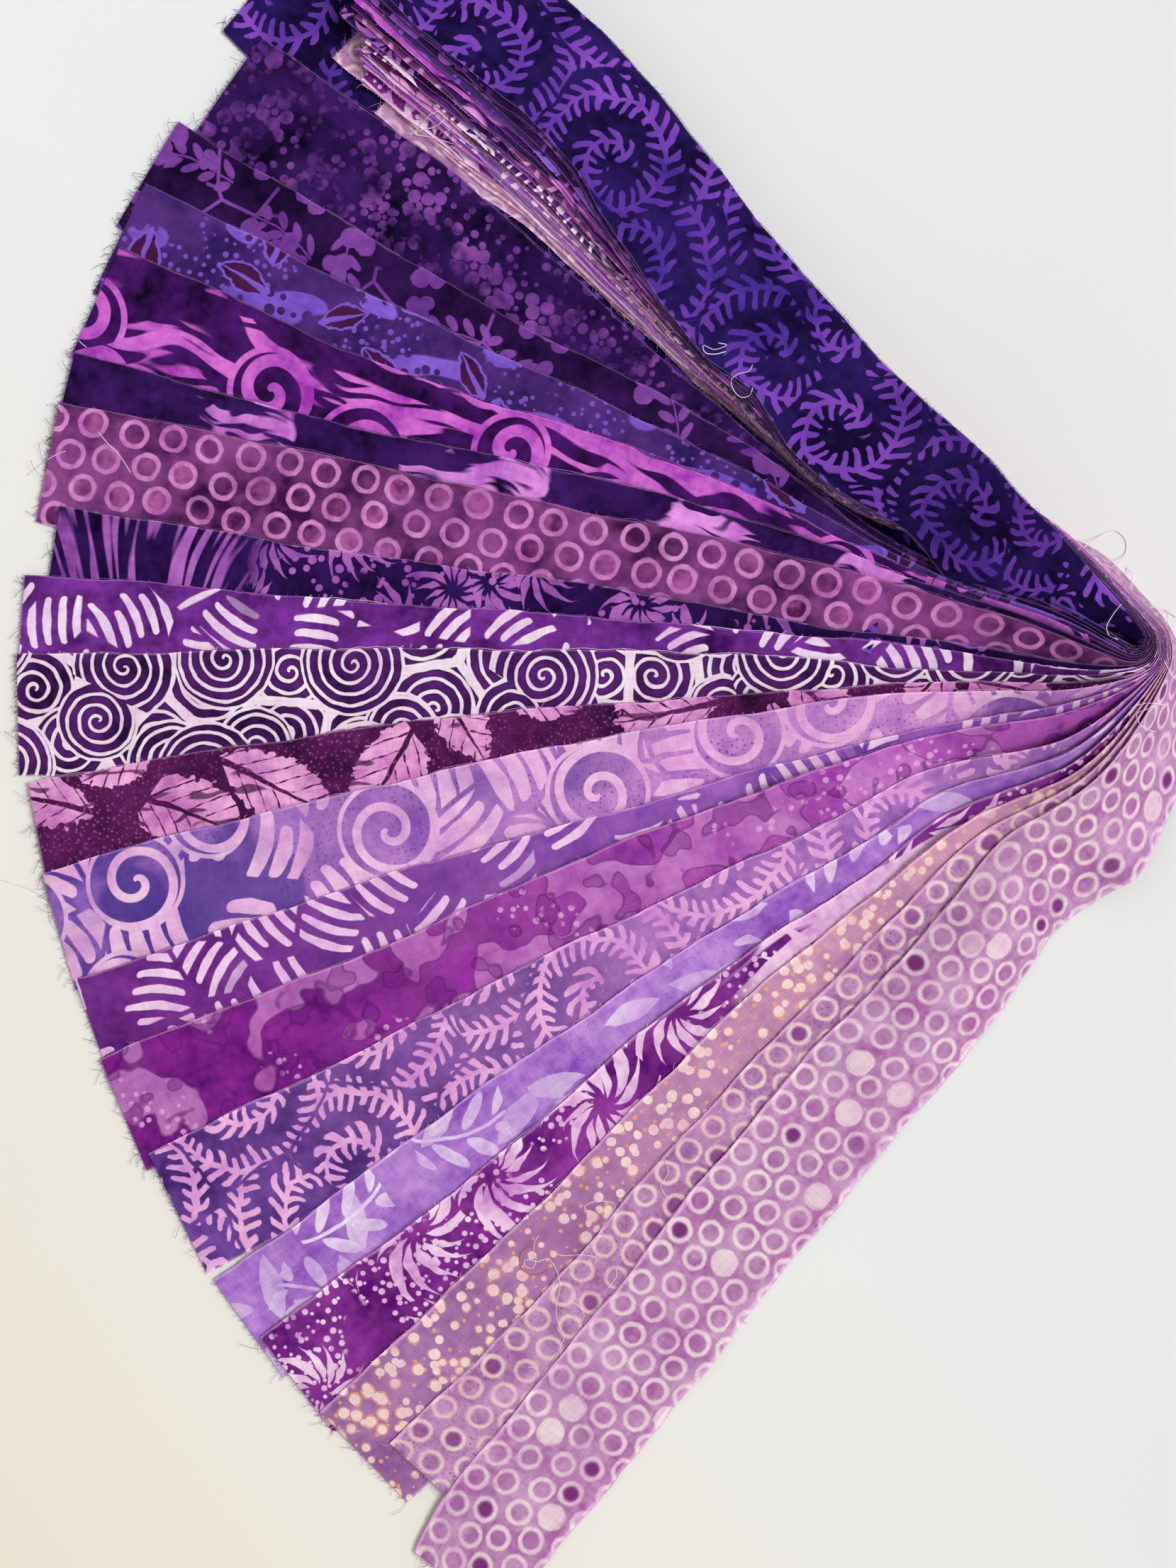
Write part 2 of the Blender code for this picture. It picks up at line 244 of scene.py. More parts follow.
# The loose threads that are seen against the cloth: the strip that each comes from, its finish,
# and the places that it passes as the camera sees them, in plan millimetres. Each is stretched
# over what lies in its way.
LOOSE_RADIUS = 0.26 * MM
LOOSE_STEP = 1.4 * MM
LOOSE_LIFT = 1.6 * LOOSE_RADIUS
FEWEST_POINTS = 8
STRETCHED = 8
PALE, RED = 1, 2
LOOSE = (
    (18, PALE, ((86, 219), (84.5, 216), (79, 214.4), (75, 211.5), (76, 206), (80.4, 202),
        (84.4, 203), (86, 207))),
    (17, PALE, ((68, 230.5), (72.5, 229.5), (66, 227), (60, 229), (61, 225.6), (66, 224.6),
        (72, 226))),
    (19, PALE, ((255, 122), (263, 126), (268, 130), (275, 132.5), (280.6, 128), (281, 121),
        (276, 115), (269, 111.5), (262, 114))),
    (19, PALE, ((281, 113), (284, 110), (284, 105), (280, 96), (274, 88), (271, 81.5),
        (272, 78), (277, 75.5))),
    (19, PALE, ((288.6, 85), (291, 90), (296, 92.6), (301.5, 90.7), (302.7, 84), (299.6, 79),
        (296, 81.5), (293.5, 85), (297, 89), (303, 91), (307, 87))),
    (19, PALE, ((300, 67), (303, 60.6), (306, 55.6), (309, 54))),
    (15, PALE, ((283, 39.6), (290, 42), (297, 42), (302, 41))),
    (16, PALE, ((296, 41), (292, 39), (286.7, 36.5), (288.6, 31), (293.5, 28), (297, 27.3))),
    (11, PALE, ((-281, -62), (-287, -58), (-293, -54.7), (-301, -52), (-309, -49.5))),
    (11, PALE, ((-282, -62), (-281, -72), (-276, -80), (-274, -88), (-270, -97))),
    (6, PALE, ((-273, 174), (-279, 171.5), (-283.5, 168.7), (-293, 161.5))),
    (6, PALE, ((-283, 198), (-277.5, 198.6), (-275, 194.3))),
    (6, PALE, ((-256, 184), (-251, 178), (-245, 172), (-239, 162.7))),
    (17, PALE, ((-25.7, -235.6), (-27.7, -239), (-28.4, -244), (-27.2, -248), (-29.2, -253),
        (-32.8, -252), (-33.3, -249), (-30, -248.6), (-27, -249.6), (-21, -248),
        (-17, -253), (-14.7, -264), (-16.2, -270), (-16.7, -276), (-14.7, -284),
        (-12.7, -290), (-15.2, -294))),
    (17, RED, ((-27.2, -245), (-30.3, -242), (-34.3, -244), (-35.8, -249), (-33.3, -254.6),
        (-29, -256.3), (-23, -255), (-21, -253.6))),
    (17, PALE, ((-20, -244), (-14, -246.3), (-6, -246), (0, -246.3), (4.4, -248), (3.4, -250.6))),
    (18, PALE, ((-11, -270), (-6, -272), (-2, -277.7), (-5.6, -283.7))),
    (18, PALE, ((14.4, -253), (15, -257), (13, -260), (10, -264))),
    (18, PALE, ((-31.7, -304.3), (-28, -305.2), (-26, -307.3), (-27, -310.3))),
    (18, PALE, ((40, -196), (42, -203), (38, -210), (41, -216))),
    (18, PALE, ((3, -226), (-2, -221), (4, -218), (14, -220), (9, -229), (4, -238))),
    (19, PALE, ((-94, 339), (-88.4, 341.4), (-79.6, 343.7), (-75, 348), (-77.4, 351.3),
        (-82, 350), (-86, 346), (-90.6, 340), (-82, 338), (-66, 333))),
    (4, PALE, ((-262, 228), (-266, 232), (-265, 237))),
)

# The camera looks straight down on the photograph's centre.
CAMERA_HEIGHT = 1.2
PHOTO_HEIGHT = 2212
PIXELS_PER_MM = 2.7
SEEN_HEIGHT = PHOTO_HEIGHT / PIXELS_PER_MM * MM
SENSOR_MM = 24.0

# The floor, the lamp, and the cotton's plain looks.
FLOOR_SIZE = 12.0
FLOOR_HEIGHT = -0.2 * MM
LAMP_SIZE = 1.7
LAMP_WATTS = 150.0
LAMP_PLACE = (2.3, 0.1, 4.0)
THREAD_RISE = 0.12 * MM
COTTON = {
    "Roughness": 0.85,
    "Specular IOR Level": 0.08,
    "Specular Tint": (0.75, 0.5, 0.9, 1.0),
    "Sheen Weight": 0.02,
    "Sheen Roughness": 0.4,
    "Sheen Tint": (0.8, 0.5, 0.9, 1.0),
}


def smooth(places, values, at, held=False):
    """The values at each place in at, on a smooth curve through values at places.

    With held, the curve never swings past the values on either side of it.
    """
    places = np.asarray(places, float)
    values = np.asarray(values, float)
    at = np.clip(np.atleast_1d(at), places[0], places[-1])
    shape = (-1,) + (1,) * (values.ndim - 1)
    spans = np.diff(places).reshape(shape)
    slopes = np.diff(values, axis=0) / spans
    inner = (slopes[:-1] * spans[1:] + slopes[1:] * spans[:-1]) / (spans[:-1] + spans[1:])
    if held:
        steepest = 3 * np.minimum(abs(slopes[:-1]), abs(slopes[1:])) * (slopes[:-1] * slopes[1:] > 0)
        inner = np.clip(inner, -steepest, steepest)
    tangents = np.concatenate([slopes[:1], inner, slopes[-1:]])
    low = np.clip(np.searchsorted(places, at, side="right") - 1, 0, len(places) - 2)
    span = spans[low]
    t = ((at - places[low]) / np.diff(places)[low]).reshape(shape)
    return (
        (2 * t**3 - 3 * t**2 + 1) * values[low]
        + (t**3 - 2 * t**2 + t) * span * tangents[low]
        + (3 * t**2 - 2 * t**3) * values[low + 1]
        + (t**3 - t**2) * span * tangents[low + 1]
    )


def summed(steps):
    """How far along each place lies, from the steps between them."""
    return np.concatenate([[0.0], np.cumsum(steps)])


def laid_on(lean, foot, gap, pitch, leans):
    """How a strip leans, and how high its lower edge lies, on one whose edge is gap behind it."""
    cover = STRIP_WIDTH * math.cos(lean) - gap
    best = None
    for steep in leans:
        beyond = STRIP_WIDTH * math.cos(steep) - cover
        under = foot + max(0.0, cover) * math.tan(lean) + pitch / math.cos(lean)
        over = foot + pitch / math.cos(steep) - beyond * math.tan(steep if beyond > 0 else lean)
        lift = max(0.0, under - STRIP_WIDTH * math.sin(steep), over)
        if best is None or lift < best[1] - SAME_LIFT:
            best = (steep, lift)
    return best


def fan_section(radius):
    """Each strip's bearing, lean and lower-edge height at one distance from the neck."""
    bearings = smooth(FAN_RADII, np.radians(np.transpose(FAN)[1:]), radius)[0]
    flattest, steepest, pitch = (
        smooth(FAN_RADII, values, radius, held=True)[0]
        for values in (LEAST_LEAN, MOST_LEAN, FAN_PITCH)
    )
    allowed = np.radians(np.linspace(flattest, steepest, LEANS_TRIED))
    lean = math.radians(smooth(FIRST_RADII, FIRST_LEAN, radius, held=True)[0])
    foot = 0.0
    leans, feet = [lean], [foot]
    for gap in np.diff(bearings) * radius:
        lean, foot = laid_on(lean, foot, gap, pitch, allowed)
        leans.append(lean)
        feet.append(foot)
    return bearings, np.array(leans), np.array(feet)


def fan_rows():
    """The fan's guide rows for every strip, from its free end to the neck."""
    ends = np.transpose(FAN)[0] * MM
    places = [[] for _ in range(STRIPS)]
    for radius in (step * MM for step in FAN_STEPS_MM):
        for k, (toward, lean, foot) in enumerate(zip(*fan_section(radius))):
            away = radius if places[k] else ends[k]
            if away >= radius:
                x = NECK[0] - away * math.cos(toward)
                y = NECK[1] - away * math.sin(toward)
                places[k].append((x, y, away, lean, foot))
    rows = []
    for place in places:
        x, y, away, lean, foot = np.array(place).T
        heading = np.arctan2(np.gradient(y, -away), np.gradient(x, -away))
        rows.append(list(zip(x, y, heading, lean, foot)))
    return rows


def turn_rows(k, close=1.0, flare=0.0, loop=LOOP):
    """The turn's guide rows for one strip, from where it meets its loop to the last ray."""
    rays, spacing, lean = np.transpose(TURN)
    at = np.linspace(FIRST_RAY + RAY_PER_STRIP * k, LAST_RAY, TURN_RAYS)
    away = LOOP_RADIUS + k * smooth(rays, spacing * close * MM, at)
    lean = np.radians(smooth(rays, lean - flare * k / (STRIPS - 1), at))
    x = loop[0] + away * np.cos(np.radians(at))
    y = loop[1] + away * np.sin(np.radians(at))
    return list(zip(x, y, np.radians(at + 90), lean, np.zeros(len(at))))


def back_rows(k, close=1.0, flare=0.0, shift=0.0):
    """The stack's guide rows for one strip, from the turn to beyond its end."""
    x, y, _, spacing, slip, rest = np.transpose(BACK) * MM
    lean = np.radians(np.transpose(BACK)[2])
    along = summed(np.hypot(np.diff(x), np.diff(y)))
    heading = np.arctan2(np.gradient(y, along), np.gradient(x, along))
    out = k * (spacing * np.sin(lean) * close + slip * np.cos(lean))
    step = slip * np.sin(lean) - spacing * np.cos(lean)
    foot = rest + (STRIPS - 1 - k) * step
    x = x + out * np.sin(heading)
    y = y - out * np.cos(heading)
    lean = lean - np.radians(flare) * (k / (STRIPS - 1)) ** FLARE_POWER
    x, y = np.stack([x, y]) + np.transpose(shift) * MM
    return list(zip(x, y, heading, lean, foot))


def edges_at(x, y, heading, lean, foot):
    """Upper and lower edge points of a strip, from where its upper edge runs and how it leans."""
    across = STRIP_WIDTH * np.cos(lean)
    upper = np.stack([x, y, foot + STRIP_WIDTH * np.sin(lean)], 1)
    lower = np.stack([x + across * np.sin(heading), y - across * np.cos(heading), foot], 1)
    return upper, lower


def edge_lines(guide, steps=None):
    """Upper and lower edge points of a strip through its guide rows, and each one's row.

    Without steps, the points lie a fine station apart.
    """
    guide = np.array(guide)
    guide[:, 2] = np.unwrap(guide[:, 2])
    middle = sum(edges_at(*guide.T)) / 2
    chord = np.linalg.norm(np.diff(middle, axis=0), axis=1)
    if steps is None:
        steps = np.maximum(3, np.ceil(chord / STATION)).astype(int)
    along = summed(chord)
    at = np.concatenate(
        [np.linspace(along[i], along[i + 1], n, endpoint=False) for i, n in enumerate(steps)]
        + [along[-1:]]
    )
    x, y = smooth(along, guide[:, :2], at).T
    heading, lean, foot = smooth(along, guide[:, 2:], at, held=True).T
    foot = foot + HALF * np.abs(np.cos(lean))
    upper, lower = edges_at(x, y, heading, lean, foot)
    return upper, lower, np.interp(at, along, np.arange(len(guide)))


def run(upper, lower):
    """How far along its middle each station of a strip lies."""
    return summed(np.linalg.norm(np.diff((upper + lower) / 2, axis=0), axis=1))


def cut_to_length(upper, lower, wanted):
    """The two edges as far as a length, measured along the strip's middle."""
    length = run(upper, lower)
    last = int(np.searchsorted(length, wanted))
    share = (wanted - length[last - 1]) / (length[last] - length[last - 1])
    if share < SHORTEST_STEP:
        last -= 1
        share = (wanted - length[last - 1]) / (length[last] - length[last - 1])
    for edge in (upper, lower):
        edge[last] = edge[last - 1] + share * (edge[last] - edge[last - 1])
    return upper[: last + 1], lower[: last + 1]


def model_middle(fans):
    """What the solids' plan is moved by, so that their origin is at the bottom middle."""
    points = []
    for k, fan in enumerate(fans):
        turn = turn_rows(k)
        steps = [1] * (len(fan) - 1) + [NECK_STEPS] + [TURN_STEPS] * (len(turn) - 1)
        edges = edge_lines(fan + turn + back_rows(k), steps + list(BACK_STEPS))[:2]
        points += cut_to_length(*edges, STRIP_LENGTH)
    points = np.concatenate(points)
    middle = (points.min(axis=0) + points.max(axis=0)) / 2
    return np.array([middle[0], middle[1], 0.0])


def cloth_edges(k, fan):
    """A strip's edges as its thin cloth runs, with each station's row.

    The cloth ends a little beyond the solid.
    """
    solid = edge_lines(fan + turn_rows(k) + back_rows(k))[:2]
    turn = turn_rows(k, np.array(TURN_CLOSE), np.array(TURN_FLARE), CLOTH_LOOP)
    back = back_rows(k, np.array(BACK_CLOSE), np.array(BACK_FLARE), BACK_SHIFT_MM)
    upper, lower, row = edge_lines(fan + turn + back)
    wanted = STRIP_LENGTH - run(*solid)[-1] + run(upper, lower)[-1]
    wanted += LONGER_LAST if k in LAST_TWO else LONGER
    upper, lower = cut_to_length(upper, lower, wanted)
    return upper, lower, row[: len(upper)] - len(fan) - len(turn)


def tucked(points, row):
    """The first strip's sheet, folded down into the valley where its two halves meet."""
    rows, *places, shares = np.transpose(VALLEY)
    places = np.transpose(places) * MM
    across = np.linspace(0.0, STRIP_WIDTH, ACROSS + 1)[:, None]
    for i in np.nonzero((row > rows[0]) & (row < rows[-1]))[0]:
        fold = smooth(rows, places, row[i])[0]
        share = smooth(rows, shares, row[i], held=True)[0]
        top = points[i, 0]
        slope = np.linalg.norm(fold - top)
        section = np.where(
            across < slope,
            top + (fold - top) * across / slope,
            fold + np.array([0.0, 0.0, -1.0]) * (across - slope),
        )
        for _ in range(ROUNDED):
            section[1:-1] = section[1:-1] / 2 + (section[:-2] + section[2:]) / 4
        points[i] = points[i] * (1 - share) + section * share
    return points


def waves(at, seed):
    """The sum of a strip's own waves at each place along it: in its plane, and out of it."""
    total = np.zeros((2, len(at)))
    for i, (length, aside, off) in enumerate(OWN_WAVES):
        phase = np.sin((seed + 1) * (7.3 + 2.9 * i)) * math.pi * 3
        total += np.outer((aside, off), np.sin(at / length * math.tau + phase)) * MM
    return total


def wander(table, row):
    """How far a strip's two edges lie off their run at each station."""
    rows, *edges = np.transpose(table)
    return [smooth(rows, edge, row, held=True) * MM for edge in edges]


def kept_width(points, right, aside, where):
    """Moves the sheet's places aside. Where asked, the cloth rises instead of stretching.

    A section whose lower edge moves out rises there, and one whose edges come closer arches.
    """
    moved = points + right[:, None] * aside[:, :, None]
    fall = points[:, :, 2] - points[:, :1, 2]
    flat = np.einsum("ijk,ik->ij", points - points[:, :1], right)
    beyond = flat + aside - aside[:, :1]
    left = np.sqrt(np.maximum(flat**2 + fall**2 - beyond**2, 0.0))
    out = where & (aside[:, -1] > aside[:, 0]) & (fall[:, -1] < 0)
    moved[:, :, 2] += np.where(out[:, None], -left - fall, 0.0)
    lost = np.where(where, np.maximum(aside[:, 0] - aside[:, -1], 0.0), 0.0)
    # So high, a shallow arch is longer than its chord by what is lost.
    arch = np.sqrt(lost * STRIP_WIDTH * 3 / 8)
    moved[:, :, 2] += arch[:, None] * (4 * SHARE * (1 - SHARE))
    return moved


def wavy(points, row, length, k):
    """A strip's sheet with the waves and wandering edges that real cloth has."""
    ahead = np.gradient(points.mean(axis=1), axis=0)
    right = np.stack([ahead[:, 1], -ahead[:, 0], np.zeros(len(ahead))], 1)
    right /= np.linalg.norm(right, axis=1)[:, None]
    lower, upper = wander(WANDER.get(k, OTHERS_WANDER), row)
    if 0 < k < FOLLOWERS:
        follow = (1 - k / FOLLOWERS) ** FOLLOW_POWER * (row > 0)
        first_lower, first_upper = wander(WANDER[0], row)
        lower = lower + (first_lower - lower) * follow
        upper = upper + (first_upper - upper) * follow
    aside = upper[:, None] * (1 - SHARE**2) + lower[:, None] * SHARE**2
    points = kept_width(points, right, aside, (row > KEPT_ROWS[0]) & (row < KEPT_ROWS[1]))
    under = smooth(*TUCKED_SHARES, row, held=True) * TUCKED_UNDER * (1 - k / (STRIPS - 1))
    points = points - right[:, None] * (under[:, None] * SHARE**2)[:, :, None]
    flat = smooth(*WAVY_SHARES, row, held=True)
    aside, off = waves(length, k)
    points = points + right[:, None] * (aside * flat)[:, None, None]
    lift = sum(
        high * (1 + np.sin(points[:, :, 0] / long * math.tau + points[:, :, 1] / long * 4 + turn))
        for long, turn, high in SHARED_WAVES
    )
    points[:, :, 2] += lift * MM * flat[:, None] + (off * flat)[:, None]
    return points


class Strip:
    """One strip's sheet: points by station and by place across, with its face normals."""

    def __init__(self, k, upper, lower, row):
        self.k = k
        self.length = run(upper, lower)
        share = SHARE[:, None]
        self.points = upper[:, None] * (1 - share) + lower[:, None] * share
        if k == 0:
            self.points = tucked(self.points, row)
        self.points = wavy(self.points, row, self.length, k)
        ahead = np.gradient(self.points, axis=0)
        normal = np.cross(ahead, -np.gradient(self.points, axis=1))
        self.normals = normal / np.linalg.norm(normal, axis=2)[:, :, None]

    def at(self, length, across):
        """The point and the face normal at a distance along the strip and across it."""
        i = np.interp(length, self.length, np.arange(len(self.length)))
        j = across / STRIP_WIDTH * ACROSS
        low = min(int(i), len(self.length) - 2)
        left = min(max(int(j), 0), ACROSS - 1)
        a, b = i - low, j - left
        grid = []
        for values in (self.points, self.normals):
            near = values[low, left] * (1 - b) + values[low, left + 1] * b
            far = values[low + 1, left] * (1 - b) + values[low + 1, left + 1] * b
            grid.append(near * (1 - a) + far * a)
        return grid


def new_object(name, data):
    """An object in the scene."""
    thing = bpy.data.objects.new(name, data)
    bpy.context.scene.collection.objects.link(thing)
    return thing


def new_piece(name, points, faces, places, materials):
    """A smooth mesh in the scene that carries the cloth coordinates of its points."""
    mesh = bpy.data.meshes.new(name)
    mesh.from_pydata(np.array(points).tolist(), [], faces)
    mesh.attributes.new("cloth", "FLOAT_VECTOR", "POINT").data.foreach_set("vector", np.ravel(places))
    mesh.polygons.foreach_set("use_smooth", np.ones(len(faces), bool))
    for material in materials:
        mesh.materials.append(material)
    return new_object(name, mesh)


def quads(index, flipped=False):
    """The faces of a grid of points, from the points' numbers."""
    a, b, c, d = index[:-1, :-1], index[:-1, 1:], index[1:, 1:], index[1:, :-1]
    corners = (a, d, c, b) if flipped else (a, b, c, d)
    return np.stack([corner.ravel() for corner in corners], 1).tolist()


def build_sheet(strip, material):
    """One strip as a closed sheet of cloth, which carries its own cloth coordinates in metres."""
    rows, columns = strip.points.shape[:2]
    count = rows * columns
    sides = [strip.points + strip.normals * CLOTH * half for half in (0.5, -0.5)]
    points = np.concatenate(sides).reshape(-1, 3)
    points[:, 2] = np.maximum(points[:, 2], FLOOR_GAP)
    places = np.zeros((2, rows, columns, 3))
    places[..., 0] = strip.length[:, None]
    places[..., 1] = np.linspace(0.0, STRIP_WIDTH, columns)
    index = np.arange(count).reshape(rows, columns)
    rim = np.concatenate([index[0, :-1], index[:-1, -1], index[-1, :0:-1], index[:0:-1, 0]])
    after = np.roll(rim, -1)
    faces = quads(index) + quads(index + count, flipped=True)
    faces += np.stack([after, rim, rim + count, after + count], 1).tolist()
    sheet = new_piece(f"cloth_{strip.k + 1:02d}", points, faces, places, [material])
    sheet.data.set_sharp_from_angle(angle=SHARP_ANGLE)
    return sheet


class Threads:
    """Fine threads joined into one mesh, which carry the cloth coordinates of their roots."""

    def __init__(self, name):
        self.name = name
        self.points, self.places, self.faces, self.kinds = [], [], [], []

    def add(self, path, place, radius=THREAD_RADIUS, kind=0):
        """One thread along a path of points, from a place on the cloth."""
        path = np.array(path)
        path[:, 2] = np.maximum(path[:, 2], radius + THREAD_GAP)
        ahead = np.gradient(path, axis=0)
        ahead /= np.linalg.norm(ahead, axis=1)[:, None]
        side = np.cross(ahead, OFF_AXIS)
        side /= np.linalg.norm(side, axis=1)[:, None]
        over = np.cross(ahead, side)
        base, count = len(self.points), len(path)
        corners = range(THREAD_FACES)
        for j in corners:
            angle = j / THREAD_FACES * math.tau
            self.points += list(path + radius * (side * math.cos(angle) + over * math.sin(angle)))
        for i in range(count - 1):
            for j in corners:
                here, there = base + j * count + i, base + (j + 1) % THREAD_FACES * count + i
                self.faces.append((here, there, there + 1, here + 1))
        for end in (0, count - 1):
            ring = [base + j * count + end for j in corners]
            self.faces.append(ring if end else ring[::-1])
        self.places += [(*place, 0.0)] * (count * THREAD_FACES)
        self.kinds += [kind] * ((count - 1) * THREAD_FACES + 2)

    def build(self, materials):
        worn = materials[: max(self.kinds) + 1]
        threads = new_piece(self.name, self.points, self.faces, self.places, worn)
        threads.data.polygons.foreach_set("material_index", self.kinds)
        return threads


def unit(direction):
    return direction / np.linalg.norm(direction)


def stray(threads, strip, place, inward, span, random):
    """One short thread from a place on the rim, away from the place inward, bent by chance."""
    here, normal = strip.at(*place)
    away = unit(here - strip.at(*inward)[0])
    side = np.cross(away, normal)
    aim, bend, lift = random.uniform(-0.7, 0.7), random.uniform(-1.2, 1.2), random.uniform(0, 0.3)
    steps = np.linspace(-0.5 * MM, span, 4 if span < 3 * MM else 7)[:, None]
    aside = steps * aim + steps**2 / span * bend
    threads.add(here + away * steps + side * aside + normal * lift * abs(steps), place)


def thread_length(random, shape, scale, shortest):
    """How long a frayed thread is, by chance."""
    return random.gamma(shape, scale) * MM + shortest * MM


def fray(strip, threads, random):
    """The frayed ends and edges of one strip."""
    end = strip.length[-1]
    for across in np.arange(0.6 * MM, STRIP_WIDTH, END_PITCH):
        for length, inward in ((0.0, INWARD), (end, end - INWARD)):
            span = thread_length(random, *END_SPANS)
            if random.random() < LONG_ONES:
                span += random.uniform(2, 7) * MM
            place = (length, across + random.uniform(-0.4, 0.4) * MM)
            stray(threads, strip, place, (inward, place[1]), span, random)
    for across, inward in ((0.0, INWARD), (STRIP_WIDTH, STRIP_WIDTH - INWARD)):
        for length in np.arange(EDGE_MARGIN, end - EDGE_MARGIN, EDGE_PITCH):
            place = (length + random.uniform(-2, 2) * MM, across)
            span = thread_length(random, *EDGE_SPANS)
            stray(threads, strip, place, (place[0], inward), span, random)
        for start in np.arange(BESIDE_START, end - BESIDE_END, BESIDE_PITCH):
            edge_thread(strip, threads, start + random.uniform(0, 40) * MM, across, inward, random)


def edge_thread(strip, threads, start, across, inward, random):
    """A thread that has come loose along an edge and runs beside it."""
    span = random.uniform(18, 70) * MM
    steps = np.linspace(0.0, 1.0, BESIDE_POINTS)
    offset = random.uniform(0.25, 0.9) * MM * np.sin(steps * math.pi) ** 0.5
    offset += random.uniform(0.1, 0.35) * MM * np.sin(steps * random.uniform(9, 26))
    path = []
    for step, away in zip(steps, offset):
        here, normal = strip.at(start + span * step, across)
        out = unit(here - strip.at(start + span * step, inward)[0])
        path.append(here + out * away + normal * BESIDE_LIFT * MM)
    threads.add(path, (start, across))


def draped(points, cloths, middle):
    """A loose thread over the cloth, through the places where the camera sees it."""
    points = np.array(points, float) * MM
    along = summed(np.linalg.norm(np.diff(points, axis=0), axis=1))
    at = np.linspace(0.0, along[-1], max(FEWEST_POINTS, int(along[-1] / LOOSE_STEP)))
    eye = Vector((-middle[0], -middle[1], CAMERA_HEIGHT))
    rays, height = [], []
    for x, y in smooth(along, points, at):
        ray = Vector((x, y, -CAMERA_HEIGHT)).normalized()
        hit = cloths.ray_cast(eye, ray)[0]
        rays.append(ray)
        height.append((hit.z if hit else 0.0) + LOOSE_LIFT)
    rays, height = np.array(rays), np.array(height)
    for _ in range(STRETCHED):
        height[1:-1] = np.maximum(height[1:-1], (height[:-2] + height[2:]) / 2)
    return np.array(eye) + rays * ((height - CAMERA_HEIGHT) / rays[:, 2])[:, None]


def all_cloths(strips):
    """A search tree of every sheet."""
    points, faces = [], []
    for strip in strips:
        rows, columns = strip.points.shape[:2]
        index = np.arange(rows * columns).reshape(rows, columns) + len(points)
        faces += quads(index)
        points += strip.points.reshape(-1, 3).tolist()
    return BVHTree.FromPolygons(points, faces)


class Field:
    """A number or vector that varies over the cloth, as a socket of a material's nodes."""

    def __init__(self, socket):
        self.socket = socket

    def __abs__(self):
        return calc("ABSOLUTE", self)

    def other(self, output):
        """Another output of the same node."""
        return Field(self.socket.node.outputs[output])


for sign, kind in (("add", "ADD"), ("sub", "SUBTRACT"), ("mul", "MULTIPLY"), ("truediv", "DIVIDE")):
    setattr(Field, f"__{sign}__", lambda self, value, kind=kind: calc(kind, self, value))
    setattr(Field, f"__r{sign}__", lambda self, value, kind=kind: calc(kind, value, self))


def put(slot, value):
    """Links a field to an input, or sets a plain value on it."""
    if isinstance(value, Field):
        slot.id_data.links.new(value.socket, slot)
    else:
        slot.default_value = value


def made(kind, inputs, output=0, **settings):
    """One output of a new node. Its inputs are plain values, and a field at least once."""
    tree = next(v for v in inputs.values() if isinstance(v, Field)).socket.id_data
    node = tree.nodes.new("ShaderNode" + kind)
    for name, value in settings.items():
        setattr(node, name, value)
    for slot, value in inputs.items():
        put(node.inputs[slot], value)
    return Field(node.outputs[output])


def calc(kind, *values, clamp=False):
    """One Math node."""
    return made("Math", dict(enumerate(values)), operation=kind, use_clamp=clamp)


fract = partial(calc, "FRACT")
floor = partial(calc, "FLOOR")
least = partial(calc, "MINIMUM")
most = partial(calc, "MAXIMUM")


def reach(x, y):
    """The distance of x, y from zero."""
    return calc("SQRT", x * x + y * y)


def bearing(x, y):
    """The direction of x, y in turns."""
    return calc("ARCTAN2", y, x) / math.tau


def turned(x, y, turns):
    """The place turned by a number of turns about zero."""
    angle = turns * math.tau
    if isinstance(angle, Field):
        c, s = calc("COSINE", angle), calc("SINE", angle)
    else:
        c, s = math.cos(angle), math.sin(angle)
    return x * c + y * s, y * c - x * s


def inside(depth, blur=0.45):
    """1 where depth in millimetres is above zero, 0 where it is below, with a soft edge."""
    return calc("MULTIPLY_ADD", depth, 1 / blur, 0.5, clamp=True)


def rise(x, start, end):
    """0 before start, 1 after end."""
    return calc("MULTIPLY_ADD", x, 1 / (end - start), -start / (end - start), clamp=True)


def covered(under, over, disc):
    """What is drawn under a disc, and what is drawn on it."""
    return under + (over - under) * inside(disc)


def vector(x, y, z=0):
    return made("CombineXYZ", {0: x, 1: y, 2: z})


def three(value):
    """The three parts of a vector or colour."""
    first = made("SeparateXYZ", {0: value})
    return [first.other(i) for i in range(3)]


def noise(at, size, seed, detail=2):
    """Smooth noise between about -0.5 and 0.5, with features of about that size."""
    place = vector(at[0] / size, at[1] / size, seed * 3.17)
    return made("TexNoise", {"Vector": place, "Scale": 1, "Detail": detail}) - 0.5


def warp(at, size, amount, seed):
    """The place moved about by noise, which makes a drawn line wander."""
    return [x + noise(at, size, seed + 40 * i, 1) * (2 * amount) for i, x in enumerate(at)]


def chance(x, y, seed):
    """Three random numbers for a whole pair x, y."""
    return three(made("TexWhiteNoise", {"Vector": vector(x, y, seed)}, "Color"))


def cells(at, size, seed, spread, feature, output):
    """The place among scattered cells of about that size, and one output of their texture."""
    place = vector(at[0] / size + seed * 7.31, at[1] / size + seed * 3.77)
    inputs = {"Vector": place, "Scale": 1, "Randomness": spread}
    return place, made("TexVoronoi", inputs, output, voronoi_dimensions="2D", feature=feature)


